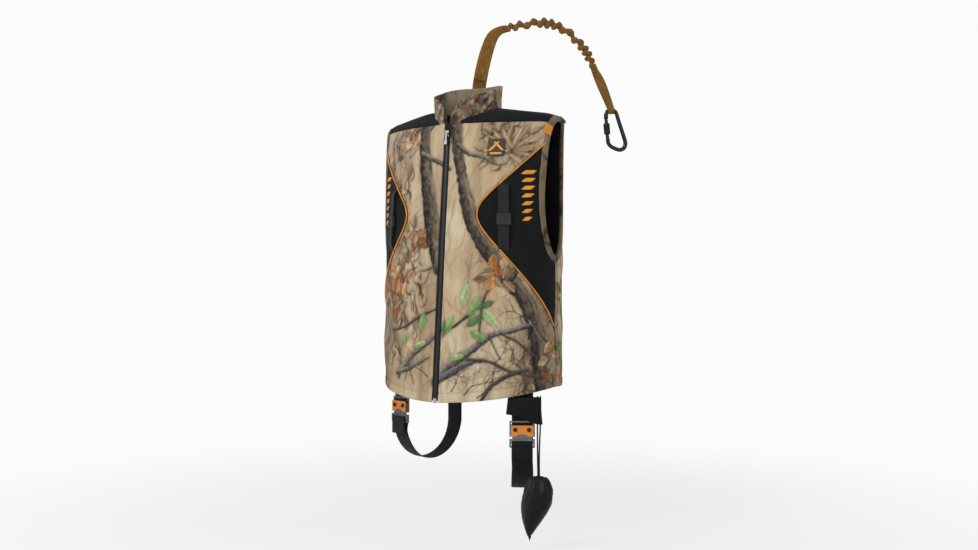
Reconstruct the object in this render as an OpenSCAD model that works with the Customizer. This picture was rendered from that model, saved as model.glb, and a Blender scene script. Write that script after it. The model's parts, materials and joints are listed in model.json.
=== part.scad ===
/* [Vest body] */
// Half of the vest's width at the hem
half_width = 217; // [212:1:222]
// Half of the vest's depth at the hem
half_depth = 140; // [138:1:145]
// How far the front hem dips below the side hem
front_dip = 33; // [20:1:40]
// Height of the shoulder point above the side hem
shoulder_z = 583; // [581:1:590]
// Height of the neck side above the side hem
neck_z = 606; // [604:1:612]
// Thickness of the padded shell fabric
shell_t = 3.5; // [2.5:0.1:3.8]

/* [Side inset] */
// Angle of the inset's narrowest point, round from the front centre
waist_th = 27.5; // [26:0.5:30]
// Height of the inset's narrowest point
waist_z = 370; // [365:1:375]

/* [Zip] */
// Length of the zip
zip_len = 590; // [585:1:592]
// Half width of the opening that the zip fills
zip_half = 8; // [8:0.1:9]

/* [Harness] */
// Width of the harness and leg webbing
web_w = 45; // [40:1:46]
// Thickness of the harness webbing
web_t = 2.4; // [2:0.1:2.6]
// Width of the tether webbing
tether_w = 31; // [26:1:31]

/* [Carabiner] */
// Diameter of the carabiner's rod
rod_d = 9; // [8.5:0.1:9.2]
// Outside diameter of the locking sleeve
sleeve_d = 14; // [13:0.5:14]

/* [Hidden] */
$fn = 48;
shirt = "burlywood";
jet = "#1c1c1e";
orange = "#e8851c";
coyote = "#a9702f";
steel = "#8c9296";
gun = "#4a4d52";

seam_th = 89;
neck_th = 30;
arm_th = 72;
arm_z = 280;
arm_rise = 150;
arm_bite = 18;
edge_gap = 0.5;
neck_w = 75;
neck_front_y = -90;
neck_back_y = 60;
neck_front_z = 565;
neck_back_z = 610;
shoulder_x = 237;
shoulder_y = 15;
back_dip = 8;
panel_top = 570;
yoke_front_z = 572.5;
yoke_back_z = 502;
lining_near = -5;
lining_far = -6.2;
lining_gap = 3.2;
strap_near = -9.5;
hem_y = -half_depth;
zip_th = 2.9;
zip_lean = atan((neck_front_y - hem_y) / (neck_front_z + front_dip));
inset_low = 136;
inset_high = 520;

// Straight mix of two values.
function mix(a, b, t) = a + (b - a) * t;

// Smooth step from 0 to 1.
function ease(t) = let (c = min(1, max(0, t))) c * c * (3 - 2 * c);

// Length-one vector along v.
function unit(v) = v / norm(v);

// Height of the hem at angle th, 0 at the front centre and 180 at the back.
function hem_z(th) = th < 90 ? -front_dip * pow(cos(th), 1.5) : -back_dip * pow(cos(th), 2);

// Point of the hem curve at angle th.
function hem(th) =
    let (e = th < 90 ? 1.11 : 0.909)
    [half_width * pow(sin(th), e), -sign(cos(th)) * half_depth * pow(abs(cos(th)), e), hem_z(th)];

// Neckline point: turn runs from 0 at the centre to 90 at the neck side.
function neckline(turn, front) = [
    neck_w * pow(sin(turn), 1.19),
    (front ? neck_front_y : neck_back_y) * cos(turn),
    mix(front ? neck_front_z : neck_back_z, neck_z, turn / 90)
];

// Shoulder seam point from the neck side, 0, to the shoulder point, 1.
function shoulder_seam(t) = [
    mix(neck_w, shoulder_x, t),
    mix(0, shoulder_y, t),
    mix(neck_z, shoulder_z, t)
];

// Upper end of the meridian at angle th: the neckline, then the shoulder seam.
function crown(th) =
    let (m = th <= 90 ? th : 180 - th)
    m <= neck_th
        ? neckline(90 * m / neck_th, th <= 90)
        : shoulder_seam(min(1, (m - neck_th) / (arm_th - neck_th)));

// How boxy the meridian is: 1 is straight, larger is fuller at the chest.
function fullness(th) =
    th <= 90 ? mix(1, 3.4, ease(th / 35)) : mix(2.4, 3.4, ease((180 - th) / 35));

// Share of the way inwards from the hem curve to the crown at height share v.
function inward(v, n) = 1 - pow(max(0, 1 - pow(max(0, v), n)), 1 / n);

// Height share at which the meridian has gone the share s inwards.
function height_share(s, n) = pow(max(0, 1 - pow(max(0, 1 - s), n)), 1 / n);

// Surface point at angle th and height share v, for th from 0 to 360.
function surf(th, v) =
    let (
        a = th <= 180 ? th : 360 - th,
        side = th <= 180 ? 1 : -1,
        low = hem(a),
        top = crown(a),
        s = inward(v, fullness(a))
    )
    [side * mix(low[0], top[0], s), mix(low[1], top[1], s), mix(low[2], top[2], v)];

// Surface point at angle th and height z.
function at_z(th, z) =
    let (a = th <= 180 ? th : 360 - th)
    surf(th, (z - hem_z(a)) / (crown(a)[2] - hem_z(a)));

// Surface point at angle th on the share s of the way inwards.
function at_share(th, s) = surf(th, height_share(s, fullness(th)));

// Share inwards at angle th and height z.
function share_at(th, z) =
    inward((z - hem_z(th)) / (crown(th)[2] - hem_z(th)), fullness(th));

// Point over the shoulder: t runs from height z0 at the front to z1 at the back.
function over(th, z0, z1, t) =
    t < 0.4
        ? at_share(th, mix(share_at(th, z0), 1, t / 0.4))
        : at_share(180 - th, mix(1, share_at(180 - th, z1), (t - 0.4) / 0.6));

// Front edge of the black side inset at height z.
function inset_edge(z) =
    waist_th + (z > waist_z ? 0.35 : 0.29) * (norm([z - waist_z, 36]) - 36);

// Front edge of the armhole at height z, and the side seam below it.
function armhole_edge(z) =
    let (t = min(1, max(0, (z - arm_z) / arm_rise)))
    z < arm_z ? seam_th : 90 - arm_bite * sqrt(1 - (1 - t) * (1 - t));

// Height by which the panels stop short of the armhole's foot.
foot_gap = 8;

// Outer edge of the front panel at height z.
function panel_edge(z) = min(inset_edge(z), armhole_edge(z + foot_gap)) - edge_gap;

// Closed sheet between two offsets of the surface p(u, v), on an nu by nv grid.
module sheet(p, near, far, nu, nv) {
    e = 0.004;
    function out(u, v) = unit(cross(
        p(min(1, u + e), v) - p(max(0, u - e), v),
        p(u, min(1, v + e)) - p(u, max(0, v - e))
    ));
    grid = [for (i = [0:nu]) for (j = [0:nv]) [i / nu, j / nv]];
    count = len(grid);
    function at(i, j) = i * (nv + 1) + j;
    ground = [for (g = grid) p(g[0], g[1])];
    normal = [for (g = grid) out(g[0], g[1])];
    outer = [for (k = [0:count - 1]) ground[k] + normal[k] * near];
    inner = [for (k = [0:count - 1]) ground[k] + normal[k] * far];
    face_out = [for (i = [0:nu - 1]) for (j = [0:nv - 1]) each [
        [at(i, j), at(i, j + 1), at(i + 1, j + 1)],
        [at(i, j), at(i + 1, j + 1), at(i + 1, j)]
    ]];
    face_in = [for (f = face_out) [f[2] + count, f[1] + count, f[0] + count]];
    rim = concat(
        [for (j = [0:nv - 1]) at(0, nv - j)],
        [for (i = [0:nu - 1]) at(i, 0)],
        [for (j = [0:nv - 1]) at(nu, j)],
        [for (i = [0:nu - 1]) at(nu - i, nv)]
    );
    size = len(rim);
    face_rim = [for (k = [0:size - 1]) each [
        [rim[k], rim[(k + 1) % size], rim[(k + 1) % size] + count],
        [rim[k], rim[(k + 1) % size] + count, rim[k] + count]
    ]];
    polyhedron(concat(outer, inner), concat(face_out, face_in, face_rim));
}

// Places the children on the wearer's right as a mirror image.
module right_side() {
    mirror([1, 0, 0]) children();
}

/* Vest panels */

module front_panel(tone) {
    color(tone) sheet(function (u, t)
        let (
            guess = panel_edge(mix(-15, panel_top, t)),
            edge = panel_edge(mix(hem_z(guess), panel_top, t)),
            th = mix(zip_th, edge, u),
            top = min(panel_top, crown(th)[2])
        )
        at_z(th, mix(hem_z(th), top, t)), 0, -shell_t, 10, 32);
}

module lining_front() {
    color("#2a2a2c") sheet(function (u, t)
        let (
            edge = panel_edge(mix(-10, panel_top, t)) - lining_gap,
            th = mix(zip_th, edge, u),
            top = min(panel_top, crown(th)[2])
        )
        at_z(th, mix(hem_z(th) + 8, top, t)), lining_near, lining_far, 10, 28);
}

module side_inset() {
    color(jet) sheet(function (u, t)
        let (
            z = mix(inset_low, inset_high, t),
            th = mix(inset_edge(z) + edge_gap, armhole_edge(z) - edge_gap, u)
        )
        at_z(th, z), 0, -shell_t, 6, 18);
}

module piping() {
    color(orange) sheet(function (u, t)
        let (z = mix(inset_low, inset_high, t))
        at_z(inset_edge(z) + 0.9 + u * 1.1, z), 3, 0.6, 1, 22);
}

module back_panel() {
    color(shirt) sheet(function (u, t)
        let (
            rough = mix(-4, yoke_back_z - 1.5, t),
            edge = 180 - armhole_edge(rough + foot_gap) + edge_gap,
            th = mix(edge, 360 - edge, u),
            a = min(th, 360 - th)
        )
        at_z(th, mix(hem_z(a), yoke_back_z - 1.5, t)), 0, -shell_t, 28, 28);
}

module lining_back() {
    color("#2a2a2c") sheet(function (u, t)
        let (
            rough = mix(0, 598, t),
            edge = 180 - armhole_edge(rough + foot_gap) + lining_gap,
            th = mix(edge, 360 - edge, u),
            a = min(th, 360 - th)
        )
        at_z(th, mix(hem_z(a) + 8, crown(a)[2] - 12, t)), lining_near, lining_far, 28, 32);
}

module shoulder_yoke() {
    color(jet) union() {
        sheet(function (u, t) over(mix(neck_th, arm_th - edge_gap, u), yoke_front_z, yoke_back_z, t),
            0, -shell_t, 8, 14);
        sheet(function (u, t)
            let (th = mix(10, neck_th + 0.6, u))
            at_z(th, mix(yoke_front_z, crown(th)[2] - 0.3, t)), 0, -shell_t, 5, 2);
        sheet(function (u, t)
            let (th = mix(180 - neck_th - 0.6, 179.7, u))
            at_z(th, mix(yoke_back_z, crown(th)[2] - 0.3, t)), 0, -shell_t, 5, 8);
    }
}

// Ring of fabric round the neck, from share t 0 at its base to 1 at its rim.
function collar_point(u, t) =
    let (
        slit = 3 + 2 * t,
        phi = mix(slit, 360 - slit, u),
        turn = phi <= 180 ? phi : 360 - phi,
        c = cos(phi),
        base = turn < 90 ? max(575, mix(neck_front_z, neck_z, turn / 90) + 3) : neck_back_z + 3,
        rim = 576 + 48 * (1 - exp(-turn / 12)) + 42 * ease(turn / 120),
        flare = mix(1, 1.05, t)
    )
    [neck_w * flare * sin(phi), -c * (c > 0 ? 88 : 58) * mix(1, 0.97, t), mix(base, rim, t)];

module collar_outer() {
    color(shirt) sheet(function (u, t) collar_point(u, t), 0, -3, 36, 3);
}

module collar_lining() {
    color(jet) sheet(function (u, t) collar_point(u, mix(0.03, 0.97, t)), -3.4, -4.4, 36, 3);
}

// Path along the armhole edge: q from 0 at its foot to 1 at top_z; bite moves it into the hole.
function armhole_path(q, bite, top_z) =
    let (psi = min(90, q * 150), rise = max(0, q * 150 - 90) / 60)
    [
        90 - (arm_bite - bite * 3.1) * sin(psi),
        arm_z + arm_rise - (arm_rise - bite * 12) * cos(psi) + rise * (top_z - arm_z - arm_rise)
    ];

module armhole_binding_front() {
    color(shirt) sheet(function (u, t)
        let (q = armhole_path(mix(0.06, 1, t), mix(0.15, 1, u), inset_high + 5))
        at_z(q[0], q[1]), 1.6, -5.4, 1, 24);
}

module armhole_binding() {
    color(shirt) sheet(function (u, t)
        let (q = armhole_path(mix(1, 0, t), mix(0.35, 1, u), shoulder_z - 28))
        at_z(180 - q[0], q[1]), 1.6, -5.4, 1, 24);
}

module chest_patch() {
    color(jet) sheet(function (u, t) at_z(mix(31.8, 43.2, u), mix(492, 530, t)), 2.2, 0.6, 4, 3);
}

module shoulder_tag() {
    color(orange) sheet(function (u, t) over(mix(67.5, 71, u), 575, 500, mix(0.02, 0.16, t)),
        2.2, 0.6, 1, 3);
}

/* Zip, built along its own straight line: X across, Y into the vest, Z up the zip */

module on_zip() {
    translate([0, hem_y, -front_dip]) rotate([-zip_lean, 0, 0]) translate([0, 1.75, 0]) children();
}

module zip_tape() {
    color(jet) on_zip() translate([3.5, -0.6, 10]) cube([zip_half - 3.9, 1.2, zip_len - 10]);
}

// Comb of moulded teeth. shift staggers the two rows.
module zip_teeth(shift) {
    pitch = 6;
    reach = 0.8;
    root = 2;
    back = 3.3;
    comb = [for (z = [12 + shift:pitch:zip_len - 8]) each [
        [root, z], [reach, z + 0.6], [reach, z + 2.4], [root, z + 3]
    ]];
    color("#303033") on_zip() translate([0, 1.3, 0]) rotate([90, 0, 0]) linear_extrude(2.6)
        polygon(concat([[back, 11]], [[root, 11]], comb, [[root, zip_len - 1]], [[back, zip_len - 1]]));
}

slider_z = zip_len - 14;
bail_y = -5.6;

module zip_slider() {
    color("silver") on_zip() translate([0, 0, slider_z]) difference() {
        union() {
            translate([-4.6, -3.2, 0]) cube([9.2, 1.5, 13]);
            translate([-4.6, 1.7, 0]) cube([9.2, 1.2, 13]);
            translate([-0.45, -2, 9.6]) cube([0.9, 4, 3.4]);
            for (x = [-3.6, 2.3]) translate([x, -6.9, 4]) cube([1.3, 4, 4]);
            translate([-3, bail_y, 6]) rotate([0, 90, 0]) cylinder(d = 1.6, h = 6);
        }
        translate([-5, -7.2, 3.9]) cube([10, 0.4, 5]);
    }
}

module zip_pull() {
    color("silver") on_zip() translate([0, bail_y, slider_z + 6]) difference() {
        union() {
            rotate([0, 90, 0]) cylinder(d = 3.6, h = 4, center = true);
            translate([-2.2, -0.6, -16]) cube([4.4, 1.2, 14.6]);
            translate([-3.2, -0.9, -24]) cube([6.4, 1.8, 9]);
        }
        rotate([0, 90, 0]) cylinder(d = 1.76, h = 5, center = true);
    }
}

module zip_box() {
    color("silver") on_zip() translate([-4.2, -1.8, -1]) cube([8.4, 3.6, 9.6]);
}

/* Binocular straps, straight bands standing clear of the inset */

strap_th = 44;
strap_low = at_z(strap_th, 308);
strap_high = at_z(strap_th, 426);
strap_run = strap_high - strap_low;
strap_len = norm(strap_run);
strap_turn = 38;
strap_lean = asin(-unit(strap_run) * [sin(strap_turn), -cos(strap_turn), 0]);

// X across the strap, Y into the vest, Z up the strap.
module on_strap() {
    translate(strap_low) rotate([0, 0, strap_turn]) rotate([-strap_lean, 0, 0])
        translate([0, -8, 0]) children();
}

module binocular_strap() {
    color("#2b2b2e") on_strap() translate([-11.5, 0, 0]) cube([23, 1.8, strap_len]);
}

module strap_adjuster() {
    color("#3a3a3e") on_strap() translate([0, 0.9, strap_len * 0.42]) difference() {
        translate([-15, -2.8, -12]) cube([30, 5.4, 24]);
        translate([-12, -1.1, -13]) cube([24, 2.2, 26]);
        for (z = [-7, 2]) translate([-9, -4, z]) cube([18, 2.4, 5]);
    }
}

/* Harness inside the vest */

// hip_th is where the webbing leaves the hem; it crosses the shoulder seam at ridge_th.
module harness_webbing(hip_th, end_z) {
    ridge_th = 49.5;
    span = 5.6;
    color(jet) union() {
        sheet(function (u, t)
            let (th = mix(hip_th, ridge_th, t) + mix(-span, span, u))
            at_z(th, mix(end_z, 545, t)), strap_near, strap_near - web_t, 2, 16);
        sheet(function (u, t)
            let (th = ridge_th + mix(-span, span, u))
            over(th, 544, 540, t), strap_near, strap_near - web_t, 2, 12);
        sheet(function (u, t)
            let (th = 180 - mix(ridge_th, 14, t) - mix(-span, span, u))
            at_z(th, mix(541, 300, t)), strap_near, strap_near - web_t, 2, 10);
    }
}

module waist_belt() {
    color(jet) sheet(function (u, t) at_z(mix(70, 290, u), mix(60, 60 + web_w, t)),
        strap_near - web_t - 2, strap_near - 2 * web_t - 2, 36, 1);
}

chest_z = 380;
chest_y = -78;

module chest_strap() {
    color(jet) for (side = [-1, 1]) translate([side * 69 - 43, chest_y, chest_z - 19])
        cube([86, 2, 38]);
}

module chest_buckle_socket() {
    color(gun) difference() {
        translate([-24, chest_y - 3, chest_z - 21]) cube([25, 8, 42]);
        translate([-17, chest_y - 0.8, chest_z - 15]) cube([20, 3.6, 30]);
    }
}

// The strap runs into a slot in the clip's outer end.
module chest_buckle_clip() {
    color(gun) difference() {
        union() {
            translate([2, chest_y - 3, chest_z - 21]) cube([22, 8, 42]);
            translate([-15, chest_y - 0.5, chest_z - 14]) cube([18, 3, 28]);
        }
        translate([4.5, chest_y - 0.2, chest_z - 19.4]) cube([22, 2.4, 38.8]);
    }
}

/* Tether: flat outline in its own upright plane, X along the arc's reach and Z up */

tether_base = [-19, 72, 0];
tether_turn = 32;

module on_tether() {
    translate(tether_base) rotate([0, 0, tether_turn]) children();
}

// Outline of a band that follows the points p with the half widths w.
function band(p, w) =
    let (
        last = len(p) - 1,
        run = [for (k = [0:last]) unit(p[min(last, k + 1)] - p[max(0, k - 1)])],
        side = [for (k = [0:last]) [-run[k][1], run[k][0]] * w[k]]
    )
    concat([for (k = [0:last]) p[k] + side[k]], [for (k = [0:last]) p[last - k] - side[last - k]]);

module slab(outline, thick) {
    rotate([90, 0, 0]) translate([0, 0, -thick / 2]) linear_extrude(thick) polygon(outline);
}

module tether_webbing() {
    half = tether_w / 2;
    color(coyote) on_tether() slab(band(
        [[-3, 617], [-3, 662], [4, 708], [16, 755], [30, 790], [46, 803], [60, 806]],
        [half, half, half, half, 12, 8, 6]), 3);
}

module tether_elastic() {
    color(coyote) on_tether() slab(band(
        [[62.6, 807.2], [80, 811], [115, 817], [151, 819], [188, 806], [222, 779], [246, 747], [262, 714]],
        [6, 10, 12, 12, 12, 12, 11, 7]), 15);
}

eye = [301, 617];

module tether_end_loop() {
    color(coyote) on_tether() difference() {
        union() {
            slab(band([[262.6, 712], [272, 694], [286, 660], [299, 624]], [6, 9, 10, 6]), 5);
            translate([eye[0] - 5.5, 0, eye[1]]) rotate([0, 90, 0]) cylinder(d = 15.6, h = 11);
        }
        translate([eye[0] - 10, 0, eye[1]]) rotate([0, 90, 0]) cylinder(d = rod_d + 0.18, h = 18);
    }
}

/* Carabiner, hanging from the tether's eye */

bar_half = 10.4;
gate_top = [289, 603];
gate_foot = [293, 550];
gate_lean = atan((gate_foot[0] - gate_top[0]) / (gate_top[1] - gate_foot[1]));
gate_len = norm(gate_foot - gate_top);

// Round rod through the points p, with ball corners.
module rod(p, d) {
    for (k = [0:len(p) - 2]) {
        a = [p[k][0], 0, p[k][1]];
        b = [p[k + 1][0], 0, p[k + 1][1]];
        run = b - a;
        translate(a) rotate([0, acos(run[2] / norm(run)), run[0] < 0 ? 180 : 0])
            cylinder(d = d, h = norm(run));
        translate(b) sphere(d = d + 0.3);
    }
}

// Children along the gate: Z runs from the pivot down to the nose.
module on_gate() {
    on_tether() translate([gate_top[0], 0, gate_top[1]]) rotate([0, 180 - gate_lean, 0]) children();
}

module carabiner_frame() {
    color(gun) difference() {
        on_tether() union() {
            rod([gate_top, eye - [bar_half, 0], eye + [bar_half, 0], [313.5, 611], [334, 548],
                [332, 534], [321, 527], [300, 535], [294.4, 544.6]], rod_d);
        }
        on_gate() translate([-8, -2.2, -5.4]) cube([16, 4.4, 16]);
        on_gate() rotate([90, 0, 0]) cylinder(d = 3, h = 12, center = true);
    }
}

module carabiner_gate() {
    color(gun) on_gate() difference() {
        union() {
            translate([-3, -2.1, -2.6]) cube([6, 4.2, 12]);
            translate([0, 0, 6.2]) cylinder(d = rod_d - 1, h = gate_len - 8);
        }
        rotate([90, 0, 0]) cylinder(d = 3.12, h = 12, center = true);
    }
}

module gate_pin() {
    color("silver") on_gate() rotate([90, 0, 0]) cylinder(d = 3, h = 8.4, center = true);
}

module gate_sleeve() {
    color("#3b3d41") on_gate() translate([0, 0, 15]) difference() {
        union() {
            cylinder(d = sleeve_d, h = 25);
            for (z = [3, 20.5]) translate([0, 0, z]) cylinder(d = sleeve_d + 0.8, h = 1.5);
        }
        translate([0, 0, -1]) cylinder(d = rod_d - 0.9, h = 27);
    }
}

/* Leg loops: X across the webbing, Y away from the viewer along the loop, Z up */

leg_left = [174, -66, -38];
leg_left_turn = 30;
leg_left_drop = 26;
leg_right = [-124, -92, -24];
leg_right_turn = -16;
leg_right_drop = 2;

module on_leg_left() {
    translate(leg_left) rotate([0, 0, leg_left_turn]) translate([0, 0, -leg_left_drop]) children();
}

module on_leg_right() {
    translate(leg_right) rotate([0, 0, leg_right_turn]) translate([0, 0, -leg_right_drop]) children();
}

module hip_tab_left() {
    color(jet) translate(leg_left) rotate([0, 0, leg_left_turn]) translate([-web_w / 2, 0, -30])
        cube([web_w, web_t, 21]);
}

module hip_sleeve_left() {
    color(jet) translate(leg_left) rotate([0, 0, leg_left_turn]) difference() {
        translate([-29, -6, -25]) cube([60, 14, 23]);
        translate([-24, -1.4, -26]) cube([48, 5, 25]);
    }
}

module buckle_frame() {
    color(steel) difference() {
        union() {
            translate([-27, 0, -38]) cube([54, 3, 33]);
            for (x = [-27, 24.5]) translate([x, -3.4, -38]) cube([2.5, 3.6, 20]);
        }
        translate([-23.5, -1, -12]) cube([47, 6, 4]);
    }
}

module buckle_release() {
    color(orange) translate([0, -3.7, 0]) rotate([90, 0, 0]) linear_extrude(2.3) difference() {
        translate([-24, -37]) square([48, 23]);
        translate([0, -52]) circle(r = 20);
        for (x = [-14.5, 14.5]) translate([x, -23]) circle(d = 4.1);
    }
}

module buckle_rivets() {
    color("#2e2e30") for (x = [-14.5, 14.5]) translate([x, 0, -23]) rotate([90, 0, 0]) {
        translate([0, 0, 3.8]) cylinder(d = 4.1, h = 3);
        translate([0, 0, 6.05]) cylinder(d = 9, h = 1.6);
    }
}

module buckle_tongue() {
    color(steel) union() {
        difference() {
            translate([-21, -3.2, -44]) cube([42, 2.7, 24]);
            for (x = [-14.5, 14.5]) translate([x, 0, -23]) rotate([90, 0, 0]) cylinder(d = 5, h = 5);
        }
        difference() {
            translate([-27, -5, -61]) cube([54, 7, 18]);
            translate([-23.5, -6, -58]) cube([47, 9, 11.5]);
            for (x = [-26, 22]) translate([x, -3.2, -55.2]) cube([4, 3.4, 8.8]);
        }
    }
}

module slide_bar() {
    color(gun) union() {
        translate([-25.5, -1.5, -50]) rotate([0, 90, 0]) cylinder(d = 3, h = 51);
        translate([-22.5, -1.5, -50]) rotate([0, 90, 0]) cylinder(d = 6, h = 45);
    }
}

// Hanging loop: reach from front strand to back strand, depth below the buckle, back end height.
module leg_loop(reach, depth, back_top) {
    steps = 20;
    front_z = -64;
    rise = back_top - front_z;
    path = concat(
        [[0, front_z]],
        [for (k = [1:steps]) [
            reach / 2 * (1 - cos(180 * k / steps)),
            front_z - depth * sin(180 * k / steps)
        ]],
        [[reach, front_z + rise]]
    );
    half = [for (k = path) web_t / 2];
    color(jet) rotate([0, 0, 90]) slab(band(path, half), web_w);
}

/* Pouch hanging on two cords */

pouch_top = [225, -85, -178];
cord_top = [206, -50, -16];

module pouch() {
    steps = 18;
    length = 134;
    profile = [for (k = [0:steps])
        let (t = k / steps)
        [max(0.2, 31 * pow(sin(180 * pow(t, 0.82)), 0.9) + 5 * (1 - t)), -length * t]];
    color(jet) translate(pouch_top) rotate_extrude()
        polygon(concat([[0, 0]], profile, [[0, -length]]));
}

module pouch_cords() {
    run = pouch_top - cord_top;
    reach = norm(run);
    spin = atan2(run[1], run[0]);
    tilt = acos(run[2] / reach);
    color(jet) for (side = [-3, 3]) translate(cord_top) rotate([0, tilt, 0] + [0, 0, spin])
        translate([0, side, 0]) cylinder(d = 2.6, h = reach - 2);
}

back_panel();
shoulder_yoke();  // shoulder_yoke_left
right_side() shoulder_yoke();  // shoulder_yoke_right
front_panel(shirt);  // front_panel_left
right_side() front_panel(shirt);  // front_panel_right
side_inset();  // side_inset_left
right_side() side_inset();  // side_inset_right
lining_back();
lining_front();  // lining_front_left
right_side() lining_front();  // lining_front_right
collar_outer();
collar_lining();
armhole_binding();  // armhole_binding_left
right_side() armhole_binding();  // armhole_binding_right
armhole_binding_front();  // armhole_binding_front_left
right_side() armhole_binding_front();  // armhole_binding_front_right
piping();  // piping_left
right_side() piping();  // piping_right
zip_tape();  // zip_tape_left
right_side() zip_tape();  // zip_tape_right
zip_teeth(0);  // zip_teeth_left
right_side() zip_teeth(3);  // zip_teeth_right
zip_slider();
zip_pull();
zip_box();
chest_patch();
shoulder_tag();
binocular_strap();  // binocular_strap_left
right_side() binocular_strap();  // binocular_strap_right
strap_adjuster();  // strap_adjuster_left
right_side() strap_adjuster();  // strap_adjuster_right
harness_webbing(57, leg_left[2] + 8);  // harness_webbing_left
right_side() harness_webbing(38.5, leg_right[2] + 2);  // harness_webbing_right
waist_belt();
chest_strap();
chest_buckle_socket();
chest_buckle_clip();
tether_webbing();
tether_elastic();
tether_end_loop();
carabiner_frame();
carabiner_gate();
gate_pin();
gate_sleeve();
hip_tab_left();
hip_sleeve_left();
on_leg_left() buckle_frame();  // buckle_frame_left
on_leg_left() buckle_release();  // buckle_release_left
on_leg_left() buckle_rivets();  // buckle_rivets_left
on_leg_left() buckle_tongue();  // buckle_tongue_left
on_leg_left() slide_bar();  // slide_bar_left
on_leg_left() leg_loop(140, 92, 60);  // leg_loop_left
on_leg_right() buckle_frame();  // buckle_frame_right
on_leg_right() buckle_release();  // buckle_release_right
on_leg_right() buckle_rivets();  // buckle_rivets_right
on_leg_right() buckle_tongue();  // buckle_tongue_right
on_leg_right() slide_bar();  // slide_bar_right
on_leg_right() leg_loop(157, 82, 22);  // leg_loop_right
pouch();
pouch_cords();
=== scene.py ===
"""Looks of the safety harness vest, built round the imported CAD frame."""
import json
import math
from collections import namedtuple

import bpy
import numpy as np
from mathutils import Vector
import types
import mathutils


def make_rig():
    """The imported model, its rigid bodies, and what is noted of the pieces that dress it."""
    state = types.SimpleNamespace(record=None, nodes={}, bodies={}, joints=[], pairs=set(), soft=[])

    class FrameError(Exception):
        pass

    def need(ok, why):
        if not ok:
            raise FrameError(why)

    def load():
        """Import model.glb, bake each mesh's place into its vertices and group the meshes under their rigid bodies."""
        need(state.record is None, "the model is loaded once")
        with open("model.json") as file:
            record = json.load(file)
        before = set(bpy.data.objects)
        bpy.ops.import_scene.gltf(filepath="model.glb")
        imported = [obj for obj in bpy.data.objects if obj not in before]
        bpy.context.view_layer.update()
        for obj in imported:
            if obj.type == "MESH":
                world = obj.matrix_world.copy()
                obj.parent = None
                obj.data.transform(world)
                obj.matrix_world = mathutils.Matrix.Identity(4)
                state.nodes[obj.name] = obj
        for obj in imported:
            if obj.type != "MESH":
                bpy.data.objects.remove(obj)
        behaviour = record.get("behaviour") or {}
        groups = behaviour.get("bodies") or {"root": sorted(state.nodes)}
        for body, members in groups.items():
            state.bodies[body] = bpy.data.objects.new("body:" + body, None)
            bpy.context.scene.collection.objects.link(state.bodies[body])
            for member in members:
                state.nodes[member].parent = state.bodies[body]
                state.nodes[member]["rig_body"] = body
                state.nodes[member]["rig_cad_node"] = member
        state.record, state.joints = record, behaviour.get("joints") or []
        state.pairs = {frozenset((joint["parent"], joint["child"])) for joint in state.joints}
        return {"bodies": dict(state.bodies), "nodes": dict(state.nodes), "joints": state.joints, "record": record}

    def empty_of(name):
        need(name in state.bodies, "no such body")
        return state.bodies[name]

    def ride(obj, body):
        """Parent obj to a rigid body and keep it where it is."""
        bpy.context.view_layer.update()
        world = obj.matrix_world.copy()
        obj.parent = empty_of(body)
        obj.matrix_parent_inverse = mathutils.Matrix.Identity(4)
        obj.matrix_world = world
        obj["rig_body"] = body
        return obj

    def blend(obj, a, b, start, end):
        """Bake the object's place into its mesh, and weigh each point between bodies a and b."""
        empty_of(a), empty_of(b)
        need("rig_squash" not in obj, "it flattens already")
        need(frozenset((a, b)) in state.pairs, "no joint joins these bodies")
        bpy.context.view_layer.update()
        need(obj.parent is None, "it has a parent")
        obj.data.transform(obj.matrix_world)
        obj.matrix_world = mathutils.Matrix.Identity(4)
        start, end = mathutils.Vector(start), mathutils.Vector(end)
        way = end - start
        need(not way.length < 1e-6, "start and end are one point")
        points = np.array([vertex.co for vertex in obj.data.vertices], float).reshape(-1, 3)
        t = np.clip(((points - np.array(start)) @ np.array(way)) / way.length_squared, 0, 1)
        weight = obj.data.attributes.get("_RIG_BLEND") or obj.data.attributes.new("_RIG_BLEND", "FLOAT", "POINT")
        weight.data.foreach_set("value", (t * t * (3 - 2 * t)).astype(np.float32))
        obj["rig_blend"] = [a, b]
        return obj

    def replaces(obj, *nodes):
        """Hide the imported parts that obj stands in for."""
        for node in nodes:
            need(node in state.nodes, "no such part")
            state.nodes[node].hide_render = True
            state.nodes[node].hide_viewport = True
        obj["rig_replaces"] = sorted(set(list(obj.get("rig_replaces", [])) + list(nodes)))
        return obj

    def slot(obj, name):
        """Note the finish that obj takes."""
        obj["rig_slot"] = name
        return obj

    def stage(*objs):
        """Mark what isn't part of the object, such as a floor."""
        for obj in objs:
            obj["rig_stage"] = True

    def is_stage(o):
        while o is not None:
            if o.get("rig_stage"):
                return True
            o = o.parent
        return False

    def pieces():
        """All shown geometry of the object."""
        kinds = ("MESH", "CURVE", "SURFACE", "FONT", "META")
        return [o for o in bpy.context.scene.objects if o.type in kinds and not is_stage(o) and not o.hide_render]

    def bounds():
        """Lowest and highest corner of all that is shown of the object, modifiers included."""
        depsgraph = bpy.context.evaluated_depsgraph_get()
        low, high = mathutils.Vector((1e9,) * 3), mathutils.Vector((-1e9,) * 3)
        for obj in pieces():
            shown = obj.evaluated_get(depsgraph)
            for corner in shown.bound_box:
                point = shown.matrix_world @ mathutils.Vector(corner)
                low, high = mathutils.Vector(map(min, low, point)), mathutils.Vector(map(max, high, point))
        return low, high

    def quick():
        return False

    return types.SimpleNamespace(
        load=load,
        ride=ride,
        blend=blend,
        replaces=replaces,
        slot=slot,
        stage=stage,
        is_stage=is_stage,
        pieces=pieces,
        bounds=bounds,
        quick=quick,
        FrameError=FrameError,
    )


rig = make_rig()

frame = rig.load()
cad_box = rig.bounds()

MM = 0.001

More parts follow.
